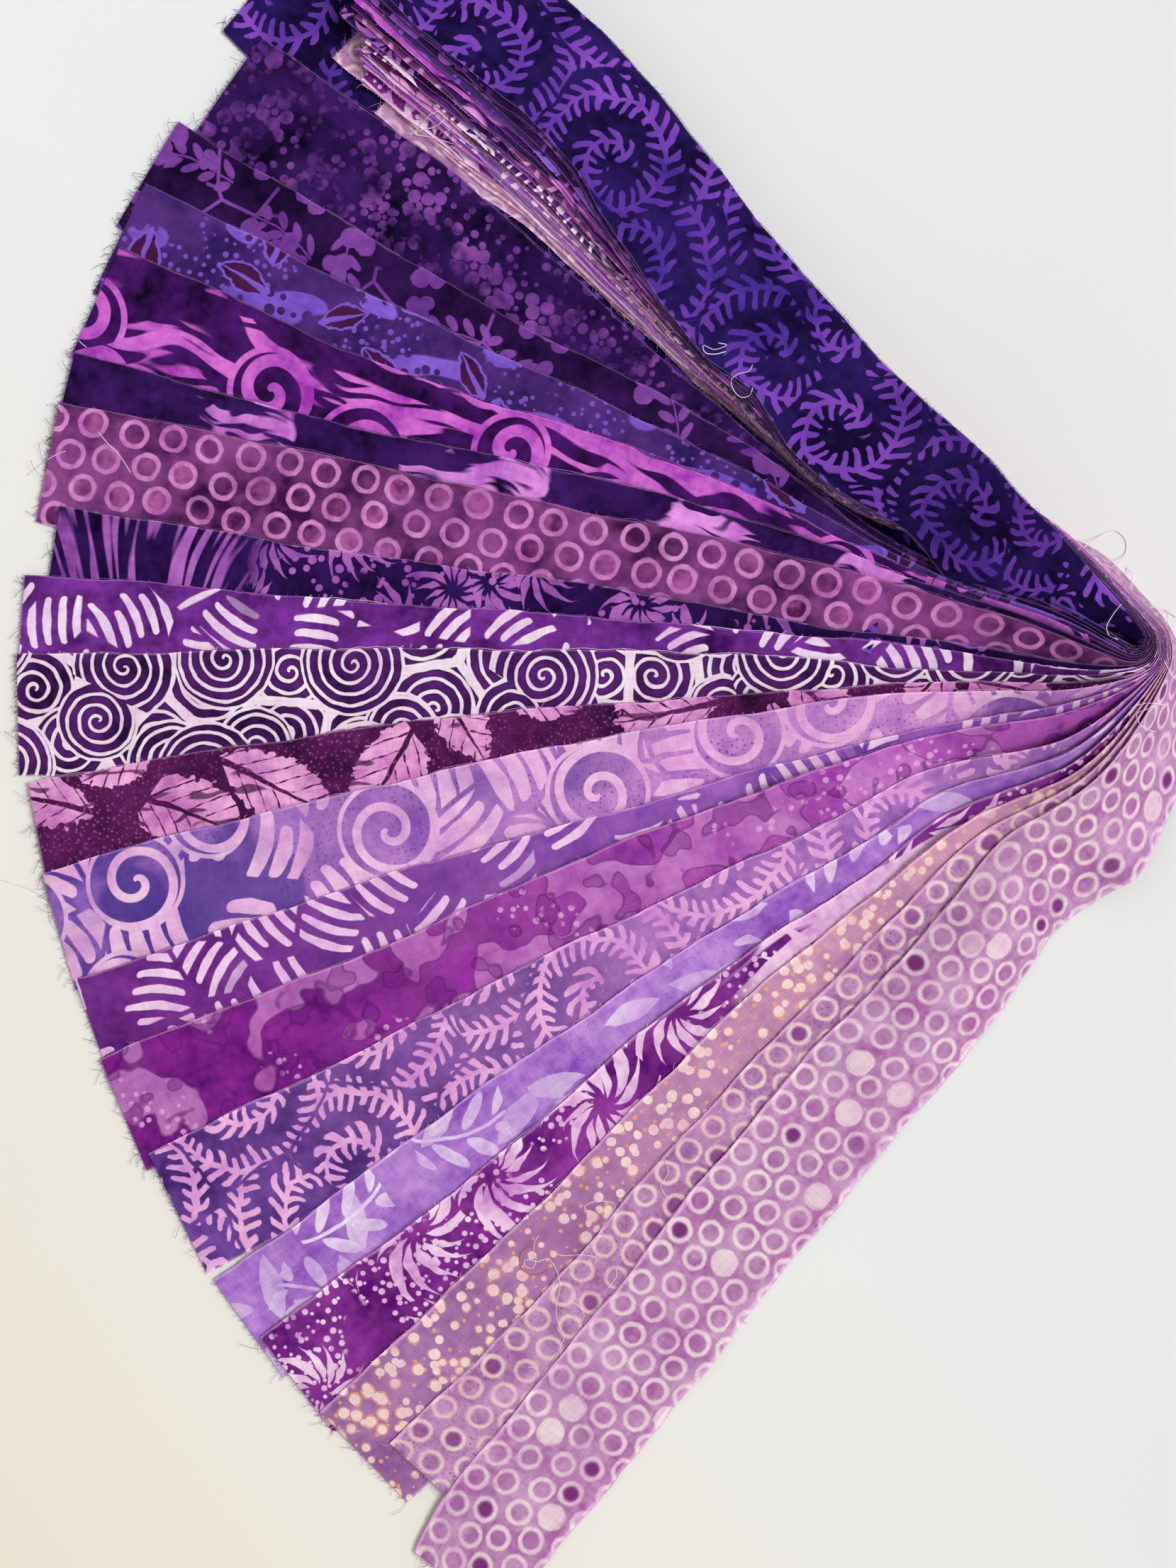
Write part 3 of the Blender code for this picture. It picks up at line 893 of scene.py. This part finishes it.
def scatter(at, size, seed, spread=0.9, turn=None):
    """The place seen from the nearest of many scattered middles, with its random numbers.

    With turn, it is also turned about that middle, by the random number of this index.
    """
    place, colour = cells(at, size, seed, spread, "F1", "Color")
    middle = three(colour.other("Position"))
    here = three(place)
    random = three(colour)
    away = [(here[i] - middle[i]) * size for i in (0, 1)]
    return (away if turn is None else turned(*away, random[turn])), random


def border(at, size, seed, spread=0.9):
    """How far the nearest border between two scattered cells is."""
    return cells(at, size, seed, spread, "DISTANCE_TO_EDGE", "Distance")[1] * size


def rgb(code):
    """A colour from its usual hex code, in the linear values that shaders take."""
    parts = [int(code[i : i + 2], 16) / 255 for i in (1, 3, 5)]
    return [c / 12.92 if c <= 0.04045 else ((c + 0.055) / 1.055) ** 2.4 for c in parts] + [1.0]


def mix(share, low, high):
    """low where share is 0, high where it is 1. Each is a field or a hex code."""
    low, high = (rgb(colour) if isinstance(colour, str) else colour for colour in (low, high))
    return made("Mix", {0: share, 6: low, 7: high}, 2, data_type="RGBA")


def cloud(at, size, seed, contrast=2.2, level=0.5):
    """Cloudy dye with small blotches in it, from 0 to 1."""
    soft = noise(at, size, seed, 3) + noise(at, size / 5, seed + 11, 3) * 0.5
    return calc("MULTIPLY_ADD", soft, contrast, level, clamp=True)


def dyed(at, dark, light, seed, size=30, contrast=2.2):
    """A mottled ground between two colours."""
    return mix(cloud(at, size, seed, contrast), dark, light)


def patch(at, size, seed, level=0, blur=1.5):
    """1 in large areas where a motif shows, 0 in the others."""
    return inside(noise(at, size, seed) * size * 1.4 - level, blur)


def dots(at, size, radius, seed):
    """Scattered round dots of uneven size."""
    away, random = scatter(at, size, seed)
    return inside(radius * (random[0] * 0.7 + 0.5) - reach(*away))


def speckles(at, size, radius, seed):
    """Tiny specks, thicker in some places than in others."""
    return dots(at, size, radius, seed) * cloud(at, size * 9, seed + 1, 3)


def rings(at, pitch, row_pitch, radius, line, seed, jitter=0.14, blur=0.7):
    """Staggered rows of drawn rings. Gives the ring, how far inside it, and random numbers."""
    row = floor(at[1] / row_pitch)
    shifted = at[0] / pitch + row * 0.5 + 0.5
    cell = floor(shifted)
    random = chance(cell, row, seed)
    across = (shifted - cell - 0.5 + (random[0] - 0.5) * jitter) * pitch
    beyond = (at[1] / row_pitch - row - 0.5 + (random[1] - 0.5) * jitter) * row_pitch
    depth = radius * (random[2] * 0.14 + 0.93) - reach(*warp((across, beyond), 6, 0.5, seed))
    uneven = noise(at, 5, seed + 3) * 1.5
    return inside(line / 2 - abs(depth) + uneven, blur), depth, random


def arm(away, pitch, random):
    """Where a place lies on the nearest arm of a spiral: how far off it, and how far along.

    The random number says which way the spiral turns.
    """
    turns = bearing(*away) * (floor(random + 0.5) * 2 - 1)
    out = reach(*away) / pitch
    whole = floor(out - turns + 0.5)
    total = (turns + whole) * math.tau
    return (out - turns - whole) * pitch, total * total * (pitch / (4 * math.pi))


def fern_curls(at, size, pitch, seed, leaf=7.4, half_width=1.75, stem=1.3):
    """Curled fern fronds that fill scattered cells: a stem with rounded fingers on both sides."""
    at = warp(at, 18, 3.4, seed)
    away, random = scatter(at, size, seed, turn=1)
    across, along = arm(away, pitch, random[0])
    across = across + noise(at, 12, seed + 6) * 4
    off = abs(across)
    place = (along - off * 0.55) / leaf
    lane = floor(place)
    beside = abs(place - lane - 0.5) * leaf
    uneven = chance(lane, floor(inside(across, 0.1) + 0.5), seed)[0] * 0.6 + 0.6
    length = (pitch * 0.4 - half_width) * uneven + noise(at, 6, seed + 9) * 4
    inner = inside(0 - across, 0.1) * rise(30 - along, 0.0, 25)
    fingers = half_width - reach(beside, most(off - length + inner * 5, 0))
    fingers = fingers + noise(at, 3.4, seed + 8) * 1.5
    line = stem - off + noise(at, 4.5, seed + 7) * 1.6
    gap = inside(border(at, size, seed) - 1, 0.9)
    return inside(least(most(fingers, line), (along - 2.2) * 0.7)) * gap


def sprays(at, size, seed, count, first, far, half_width):
    """Tapered strokes of uneven length that spread from scattered middles, like a thistle."""
    at = warp(at, 10, 1.8, seed)
    away, random = scatter(at, size, seed)
    out = reach(*away)
    turns = fract(bearing(*away) + random[0] + out * 0.005) * count
    lane = floor(turns)
    pick = chance(lane, floor(random[1] * 99), seed)
    shift = (pick[1] - 0.5) * 0.4
    beside = abs(turns - lane - 0.5 + shift) * out * (math.tau / count)
    start = (out - first - pick[2] * first) * 0.35
    end = (far * (pick[0] * 0.6 + 0.55) - out) * 0.20
    wide = half_width * (pick[2] * 0.8 + 0.7)
    return inside(least(least(start, end), wide) - beside)


def flames(at, length, width, seed, bend, level):
    """Swept tongues with tapered ends, whose direction wanders."""
    x, y = warp(at, length * 1.2, bend, seed)
    field = noise((x * (width / length), y), width, seed + 2, 0.35)
    return inside((field - level) * width * 2.2, 0.6)


def dashes(at, size, seed, pitch, length, half_width, missing):
    """Groups of a few slightly curved round-ended dashes, each group with its own slant."""
    (x, y), random = scatter(at, size, seed, turn=0)
    place = (y + x * x * 0.010 + noise(at, 12, seed + 5) * 2) / pitch
    lane = floor(place)
    beside = abs(place - lane - 0.5) * pitch
    pick = chance(lane, floor(random[1] * 99), seed)
    half = length / 2 * (pick[0] * 0.5 + 0.65)
    along = abs(x + (pick[1] - 0.5) * 6)
    wide = half_width * (1.12 - along / half * 0.35)
    depth = wide - reach(beside, most(along - half + half_width, 0))
    gap = inside(border(at, size, seed) - 1.4, 0.8)
    return inside(depth) * gap * inside(pick[2] - missing, 0.01)


def leaves(at, size, seed, half_length, half_width, vein, side=0, ragged=0):
    """Scattered pointed leaves with a bare midrib, and side veins a given pitch apart."""
    at = warp(at, 9, 1.2, seed)
    (x, y), random = scatter(at, size, seed, 0.85, turn=0)
    scale = random[1] * 0.6 + 0.7
    along = x / (scale * half_length)
    off = abs(y)
    width = (1 - along * along) * scale * half_width + noise(at, 4.5, seed + 3) * ragged
    blade = inside(width - off)
    if vein:
        blade = blade * inside(off - vein * (1.3 - along), 0.4)
    if side:
        lane = abs(fract((x - off * 1.1) / side) - 0.5) * side
        uneven = noise(at, 5, seed + 4) * 2.5
        blade = blade * most(inside(lane - 0.5 + uneven), inside(1.6 - off))
    return blade


def sprigs(at, size, seed, step, pairs, leaf, width, stem=0.5):
    """Scattered curved stems with leaves in pairs."""
    at = warp(at, 14, 1.4, seed)
    (x, y), _ = scatter(at, size, seed, turn=0)
    off = abs(y + x * x * 0.008)
    aside = (fract(x / step) - 0.5) * step
    aside, beyond = turned(aside, off - leaf * 0.85 - stem, 0.12)
    blade = (1 - reach(aside / leaf, beyond / width)) * width
    return inside(most(blade, stem - off)) * inside(pairs * step - abs(x))


def flowers(at, size, seed, petals, ring, petal, heart):
    """Scattered flowers of round petals about a small heart."""
    at = warp(at, 7, 0.9, seed)
    away, random = scatter(at, size, seed)
    scale = random[1] * 0.6 + 0.7
    out = reach(*away)
    fold = (fract((bearing(*away) + random[0]) * petals) - 0.5) * (math.tau / petals)
    along = out * calc("COSINE", fold) - scale * ring
    aside = out * calc("SINE", fold)
    depth = most(scale * petal - reach(along, aside), scale * heart - out)
    return inside(depth + noise(at, 3.5, seed + 6) * 1.2)


def whorls(at, size, pitch, seed, thick, radius=None, rim_line=1):
    """Spiral lines about scattered middles: the depth of the line, and that of its disc.

    Without a radius, each spiral fills its cell.
    """
    away, random = scatter(at, size, seed, 0.75, turn=2)
    across, _ = arm(away, pitch, random[0])
    if radius is None:
        rim = border(at, size, seed, 0.75)
    else:
        rim = radius * (random[1] * 0.35 + 0.75) - reach(*away)
    return most(thick - abs(across), thick * rim_line - rim), rim


def blobs(at, size, seed, share, detail=1):
    """Large soft-edged shapes, and the drawn line round them."""
    field = noise(at, size, seed, detail) * size * 1.6 - share
    return inside(field, 0.9), inside(0.45 - abs(field))


def strip_01(at):
    ferns = fern_curls(at, 66, 24, 1)
    bright = cloud(at, 90, 2, 2.6, 0.66)
    ground = mix(cloud(at, 34, 3, 2.2, 0.35), "#120830", "#311e6a")
    return mix(ferns * (bright * 0.25 + 0.72), ground, mix(bright, "#4a2e9a", "#8a4cc2"))


def strip_02(at):
    ground = dyed(at, "#0a0320", "#3a1a5e", 4)
    marks = most(flowers(at, 30, 5, 5, 5.4, 3, 1.6), dots(at, 7.5, 2, 6))
    marks = most(marks, dots(at, 17, 4, 7)) * cloud(at, 26, 8, 3.4, 0.4)
    return mix(marks * 0.9, ground, dyed(at, "#5a2a84", "#9250ac", 9))


def strip_03(at):
    ground = dyed(at, "#120424", "#371754", 10)
    branch = inside(0.9 - border(at, 44, 11, 1)) * patch(at, 50, 12, 2)
    marks = most(sprigs(at, 54, 13, 9.5, 2, 5, 2.2), flowers(at, 30, 14, 3, 4, 4.2, 1.4))
    return mix(most(marks, branch) * 0.92, ground, dyed(at, "#62308a", "#8e4eac", 15))


def strip_04(at):
    ground = dyed(at, "#271650", "#56307e", 16)
    colour = mix(dots(at, 5.6, 1.35, 17) * patch(at, 45, 18, 2), ground, "#7850b8")
    shape, _ = blobs((at[0] * 0.55, at[1]), 21, 19, 3, 0.3)
    shape = shape * (1 - dots(at, 10, 2.6, 20))
    colour = mix(shape, colour, dyed(at, "#6440ac", "#8a60d0", 21))
    colour = mix(leaves(at, 42, 22, 15, 7.4, 0, 0, 4), colour, "#7c56c4")
    filled = leaves(at, 42, 22, 13.6, 6, 0.8, 0, 4)
    return mix(filled, colour, dyed(at, "#2e1238", "#501c4a", 23))


def strip_05(at):
    ground = dyed(at, "#110322", "#501a70", 24)
    tongues = flames(at, 62, 10, 25, 24, 0.03) * (1 - flames(at, 48, 5, 27, 20, 0.07))
    line, disc = whorls(at, 66, 15, 26, 3.3, 23)
    return mix(covered(tongues, inside(line), disc), ground, dyed(at, "#9c30ae", "#dc74d6", 28, 22))


def strip_06(at):
    ground = dyed(at, "#0f0322", "#421c68", 28)
    area = patch(at, 70, 29, 2) * rise(at[0], 66, 80)
    marks = flames(at, 30, 8, 30, 12, -0.12) * (1 - flames(at, 24, 3.8, 31, 11, 0.05))
    return mix(marks * area, ground, dyed(at, "#aa50ba", "#ea9ae8", 32))


def strip_07(at):
    ground = dyed(at, "#3a1040", "#8c4688", 32, 42, 3)
    ring, depth, random = rings(at, 20.4, 16.7, 6.3, 2.5, 33)
    disc = inside(depth - 1, 1.8) * random[0]
    colour = mix(disc * 0.8, ground, dyed(at, "#4c1248", "#c064a8", 34, 26, 4))
    shown = cloud(at, 26, 35, 1.6, 0.85)
    return mix(ring * shown, colour, dyed(at, "#ac5aa6", "#e29ad2", 36, 24))


def strip_08(at):
    x, y = at
    ground = dyed(at, "#0b0324", "#34165a", 37)
    zebra = flames((y, (x - 50) * 80 / (118 - y)), 60, 3.6, 38, 7, 0.01)
    area = 1 - rise(x + noise(at, 20, 39) * 40, 96, 104)
    petals = sprays(at, 52, 40, 13, 3, 28, 2.6) * rise(x, 100, 112)
    round_dots = dots(at, 7.4, 1.9, 41) * rise(x, 100, 110) * patch(at, 44, 42)
    marks = most(zebra * area, most(petals, round_dots))
    return mix(marks, ground, dyed(at, "#7c3c92", "#b46abe", 43))


def strip_09(at):
    ground = dyed(at, "#380a50", "#8438a4", 44)
    return mix(dashes(at, 34, 45, 7.9, 31, 2.1, 0.1), ground, dyed(at, "#dcb2da", "#f4e2f0", 46))


def strip_10(at):
    bent = warp(at, 10, 0.9, 47)
    depth, _ = whorls(bent, 40, 6.2, 48, 0.92, None, 2.7)
    for seed, radius in ((49, 20), (50, 26)):
        depth = covered(depth, *whorls(bent, 56, 5.9, seed, 0.86, radius, 1.7))
    depth = depth + noise(at, 7, 51)
    ground = dyed(at, "#240c34", "#5e2478", 52, 26)
    ground = mix(inside(depth + 0.55) * 0.8, ground, "#150620")
    return mix(inside(depth), ground, dyed(at, "#e0bcda", "#f4e6ee", 53, 40))


def strip_11(at):
    ground = dyed(at, "#270a2e", "#62205a", 54)
    ground = mix(speckles(at, 3, 0.6, 55) * 0.6, ground, "#a85a9c")
    marks = leaves(at, 47, 56, 31, 15, 0.8, 10, 11) * (1 - flames(at, 24, 5, 57, 9, 0.16) * 0.85)
    return mix(marks, ground, dyed(at, "#b862ac", "#f0aeda", 58, 20))


def strip_12(at):
    right = rise(at[0] + noise(at, 60, 59) * 160, 40, 330)
    ground = mix(right, dyed(at, "#4c2c8c", "#a070c4", 60), dyed(at, "#9a60b4", "#dc9ad2", 61))
    ground = mix(speckles(at, 3.4, 0.6, 62) * 0.7, ground, "#4c2a80")
    ground = mix(patch(at, 52, 68, 2, 7) * (0.85 - right * 0.6), ground, "#4a3488")
    line, disc = whorls(at, 76, 15, 64, 2.3, 26)
    marks = covered(dashes(at, 50, 63, 10.5, 42, 3.9, 0.04), inside(line), disc)
    marks = marks * cloud(at, 60, 65, 1.8, 0.9)
    return mix(marks * 0.92, ground, dyed(at, "#dc9cd2", "#f4cae6", 66))


def strip_13(at):
    right = rise(at[0], 60, 300)
    ground = mix(right, dyed(at, "#481260", "#7c3490", 67), dyed(at, "#7440a0", "#a464b8", 68))
    return mix(dashes(at, 36, 69, 8.4, 33, 2.1, 0.13), ground, dyed(at, "#d6a2d4", "#f0d0ea", 70))


def strip_14(at):
    right = rise(at[0] + noise(at, 60, 71) * 160, 90, 420)
    ground = mix(right, dyed(at, "#520862", "#922a96", 72), dyed(at, "#9236a0", "#c468c0", 73))
    shape, line = blobs(at, 30, 74, 0.5, 1.4)
    inner, inner_line = blobs(at, 15, 75, 2.4)
    colour = mix(shape * 0.7, ground, dyed(at, "#a850a8", "#d28ecb", 76))
    colour = mix(inner * 0.5, colour, "#741e7e")
    small = dots(at, 6.6, 1.5, 77) * patch(at, 40, 78, 5)
    colour = mix(small * 0.8, colour, "#d8a0d0")
    return mix(most(line, inner_line) * 0.5, colour, "#4c1058")


def strip_15(at):
    right = rise(at[0] + noise(at, 60, 79) * 200, 60, 380)
    ferns = fern_curls(at, 72, 23.5, 80, 6.6, 1.7, 1.4)
    ground = mix(right, dyed(at, "#3a2064", "#74489a", 81), dyed(at, "#8450a4", "#c084c4", 82))
    return mix(ferns, ground, dyed(at, "#c680c4", "#ecb4dc", 83, 34))


def strip_16(at):
    ground = dyed(at, "#8248ae", "#be8cd6", 84)
    ground = mix(speckles(at, 3.6, 0.5, 85) * 0.5, ground, "#683090")
    marks = most(leaves(at, 38, 86, 15, 4.8, 0) * 0.7, sprigs(at, 72, 87, 17, 1.5, 10, 3.3, 1))
    marks = marks * cloud(at, 45, 88, 1.6, 0.85)
    return mix(marks * 0.9, ground, dyed(at, "#d2aade", "#f4e6f0", 89))


def strip_17(at):
    ground = dyed(at, "#540e66", "#943a9a", 90)
    marks = most(sprays(at, 66, 91, 13, 4, 41, 3.6), dots(at, 5.4, 1.5, 93) * patch(at, 46, 92))
    stripes = flames(at, 90, 7, 94, 6, 0.02) * rise(at[0], 300, 320)
    return mix(most(marks, stripes), ground, dyed(at, "#c078be", "#f4d8ea", 95))


def strip_18(at):
    right = rise(at[0], 60, 330)
    ground = mix(right, dyed(at, "#7c4a86", "#ae7cac", 96), dyed(at, "#a8709c", "#d09cb6", 97))
    missing = (cloud(at, 24, 98, 2.6) - 0.35) * 2.6
    marks = most(flowers(at, 31, 99, 6, 6.8, 2.4, 0), dots(at, 11, 2.6, 100))
    wide = most(flowers(at, 31, 99, 6, 6.8, 3.3, 0), dots(at, 11, 3.5, 100))
    halo = (wide - marks) * least(missing, 1) * 0.75
    colour = mix(most(halo, dots(at, 8.5, 1, 101) * 0.8), ground, "#e4a470")
    return mix(marks * 0.95, colour, dyed(at, "#dfb6c2", "#f6dccc", 102))


def strip_19(at):
    ground = dyed(at, "#9c6296", "#c898c0", 102, 14)
    ground = mix(speckles(at, 2.6, 0.55, 103) * 0.7, ground, "#743678")
    ring, depth, random = rings(at, 16.8, 14.4, 5.5, 1.9, 104, 0.14, 1.3)
    dark = inside(depth - 1.2, 2.2) * inside(random[0] - 0.86, 0.1)
    colour = mix(dark * 0.8, ground, "#7c3478")
    return mix(ring * 0.85, colour, dyed(at, "#dab2b8", "#eed6cc", 105))


def strip_20(at):
    ground = dyed(at, "#a4669e", "#caa0c2", 106, 26)
    ground = mix(cloud(at, 17, 107, 3.4, 0.1) * 0.7, ground, "#9a448e")
    ring, depth, random = rings(at, 16.8, 14.6, 5.7, 2.3, 108, 0.16, 1.2)
    ring = ring * cloud(at, 24, 110, 2, 0.95)
    filled = inside(depth, 1.5) * inside(random[2] - 0.94, 0.04)
    dark = inside(depth - 1.6, 2.4) * inside(random[0] - 0.87, 0.04)
    middle = inside(depth - 0.6, 2) * random[1] * 0.35
    colour = mix(middle, ground, "#965090")
    colour = mix(dark * 0.9, colour, "#6e2269")
    return mix(most(ring, filled) * 0.88, colour, dyed(at, "#dab6cc", "#ecdad8", 109))


DESIGNS = (
    strip_01, strip_02, strip_03, strip_04, strip_05, strip_06, strip_07, strip_08, strip_09, strip_10,
    strip_11, strip_12, strip_13, strip_14, strip_15, strip_16, strip_17, strip_18, strip_19, strip_20,
)


def new_material(name, looks, on_cloth=False):
    """A material with these looks: it, its shader's inputs, and the place that it colours."""
    material = bpy.data.materials.new(name)
    material.use_nodes = True
    nodes = material.node_tree.nodes
    inputs = nodes["Principled BSDF"].inputs
    for look, value in looks.items():
        inputs[look].default_value = value
    if on_cloth:
        source = nodes.new("ShaderNodeAttribute")
        source.attribute_name = "cloth"
        place = source.outputs["Vector"]
    else:
        place = nodes.new("ShaderNodeTexCoord").outputs["Object"]
    return material, inputs, three(Field(place))[:2]


def woven(at, seed):
    """The height of a plain weave, its threads a little uneven, from about -1 to 1."""
    x, y = at
    along = noise((x * 0.05, y), THREAD_MM * 1.8, seed, 1)
    over = noise((x, y * 0.05), THREAD_MM * 1.8, seed + 1, 1)
    wave_x, wave_y = (calc("SINE", place * (math.pi / THREAD_MM)) for place in at)
    return (along + over) * 1.5 + wave_x * wave_y * 0.8


def cotton(name, design, k):
    """Dyed cotton with its own pattern, on the cloth coordinates of the piece that wears it.

    The paler a strip is, the wider its pale edge. The edge is partly worn cut threads and partly a
    painted highlight: it is mixed towards pale pink and brightened.
    """
    material, shader, place = new_material(name, COTTON, on_cloth=True)
    at = [part / MM for part in place]
    threads = woven(at, k)
    # How wide the pale edge is: partly worn cut threads, partly a painted highlight.
    worn = 0.45 + 1.3 * (k / STRIPS) ** 3
    from_edge = least(at[1], STRIP_WIDTH / MM - at[1]) + noise(at, 6, k + 150) * worn * 2
    edge = inside(worn - from_edge, worn)
    # The pale edge's colour: partly worn threads, partly a painted highlight.
    colour = mix(edge * (0.08 + 0.24 * (k / STRIPS) ** 2), design(at), "#eec0e4")
    # Brightness by the weave's threads, and the edge brightened as a painted highlight.
    shade = threads * 0.17 + edge * 0.22 + 1
    put(shader["Base Color"], made("VectorMath", {0: colour, "Scale": shade}, operation="SCALE"))
    put(shader["Normal"], made("Bump", {"Strength": 0.5, "Distance": THREAD_RISE, "Height": threads}))
    return material


def thread_finish(name, colour):
    """A loose thread's finish, a little uneven along it."""
    material, shader, at = new_material(name, {"Roughness": 0.8})
    put(shader["Base Color"], mix(cloud(at, 3 * MM, 160, 1.5) * 0.2, colour, "#a878b0"))
    return material


def paper(name, dark, light, painted_shade, painted_warm_light):
    """The plain floor's finish, with painted light: painted shade darkens it towards the right, and a
    painted warm light tints it towards the lower left corner.
    """
    material, shader, at = new_material(name, {"Roughness": 0.9, "Specular IOR Level": 0.1})
    x, y = at
    # Where the painted warm light falls: towards the lower left corner, fading further out.
    corner = rise(0 - x - y * 0.8, 0.05, 0.75) * (1 - rise(reach(x, y), 0.65, 1.5))
    # Painted shade: the floor darkens towards the right.
    colour = mix(rise(x, -0.5, 0.5), dyed(at, dark, light, 140, 0.6, 1.5), painted_shade)
    put(shader["Base Color"], mix(corner, colour, painted_warm_light))
    return material


def make_camera(middle):
    """A camera that looks straight down on the photograph's centre."""
    data = bpy.data.cameras.new("camera")
    data.sensor_fit = "VERTICAL"
    data.sensor_height = SENSOR_MM
    data.lens = SENSOR_MM * CAMERA_HEIGHT / SEEN_HEIGHT
    data.clip_start = 0.01
    camera = new_object("camera", data)
    camera.location = (-middle[0], -middle[1], CAMERA_HEIGHT)
    bpy.context.scene.camera = camera


def make_stage():
    """A pale floor under soft light from the right, which leaves shade on the left of each fold."""
    bpy.ops.mesh.primitive_plane_add(size=FLOOR_SIZE, location=(0.0, 0.0, FLOOR_HEIGHT))
    floor_plane = bpy.context.object
    floor_plane.name = "floor"
    # The third colour is painted shade towards the right, and the fourth is painted warm light towards
    # the lower left.
    floor_plane.data.materials.append(paper("floor_paper_with_painted_light", "#eeefef", "#f3f3f3", "#d9d9d6", "#e9e0cf"))
    data = bpy.data.lights.new("window", "AREA")
    data.shape = "SQUARE"
    data.size = LAMP_SIZE
    data.energy = LAMP_WATTS
    data.color = (0.97, 0.985, 1.0)
    lamp = new_object("window", data)
    lamp.location = LAMP_PLACE
    lamp.rotation_euler = (-lamp.location).to_track_quat("-Z", "Y").to_euler()
    world = bpy.data.worlds.new("studio")
    world.use_nodes = True
    background = world.node_tree.nodes["Background"].inputs
    background["Color"].default_value = (1.0, 0.99, 0.975, 1.0)
    background["Strength"].default_value = 0.50
    bpy.context.scene.world = world
    bpy.context.scene.view_settings.view_transform = "Standard"


def main():
    fans = fan_rows()
    middle = model_middle(fans)
    make_camera(middle)
    make_stage()
    strips = [Strip(k, *cloth_edges(k, fan)) for k, fan in enumerate(fans)]
    for strip in strips:
        strip.points -= middle
    cloths = all_cloths(strips)
    loose_finishes = [thread_finish("pale_thread", "#fbf0f6"), thread_finish("red_thread", "#f0483c")]
    for strip, design in zip(strips, DESIGNS):
        name = f"strip_{strip.k + 1:02d}"
        material = cotton(f"{name}_cotton", design, strip.k)
        cloth = build_sheet(strip, material)
        threads = Threads(f"fray_{strip.k + 1:02d}")
        fray(strip, threads, np.random.default_rng(strip.k + 1))
        for k, kind, points in LOOSE:
            if k == strip.k:
                threads.add(draped(points, cloths, middle), (0.0, 0.0), LOOSE_RADIUS, kind)
        frayed = threads.build([material] + loose_finishes)
        for piece in (cloth, frayed):
            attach(piece, "root")
        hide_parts(name)


main()
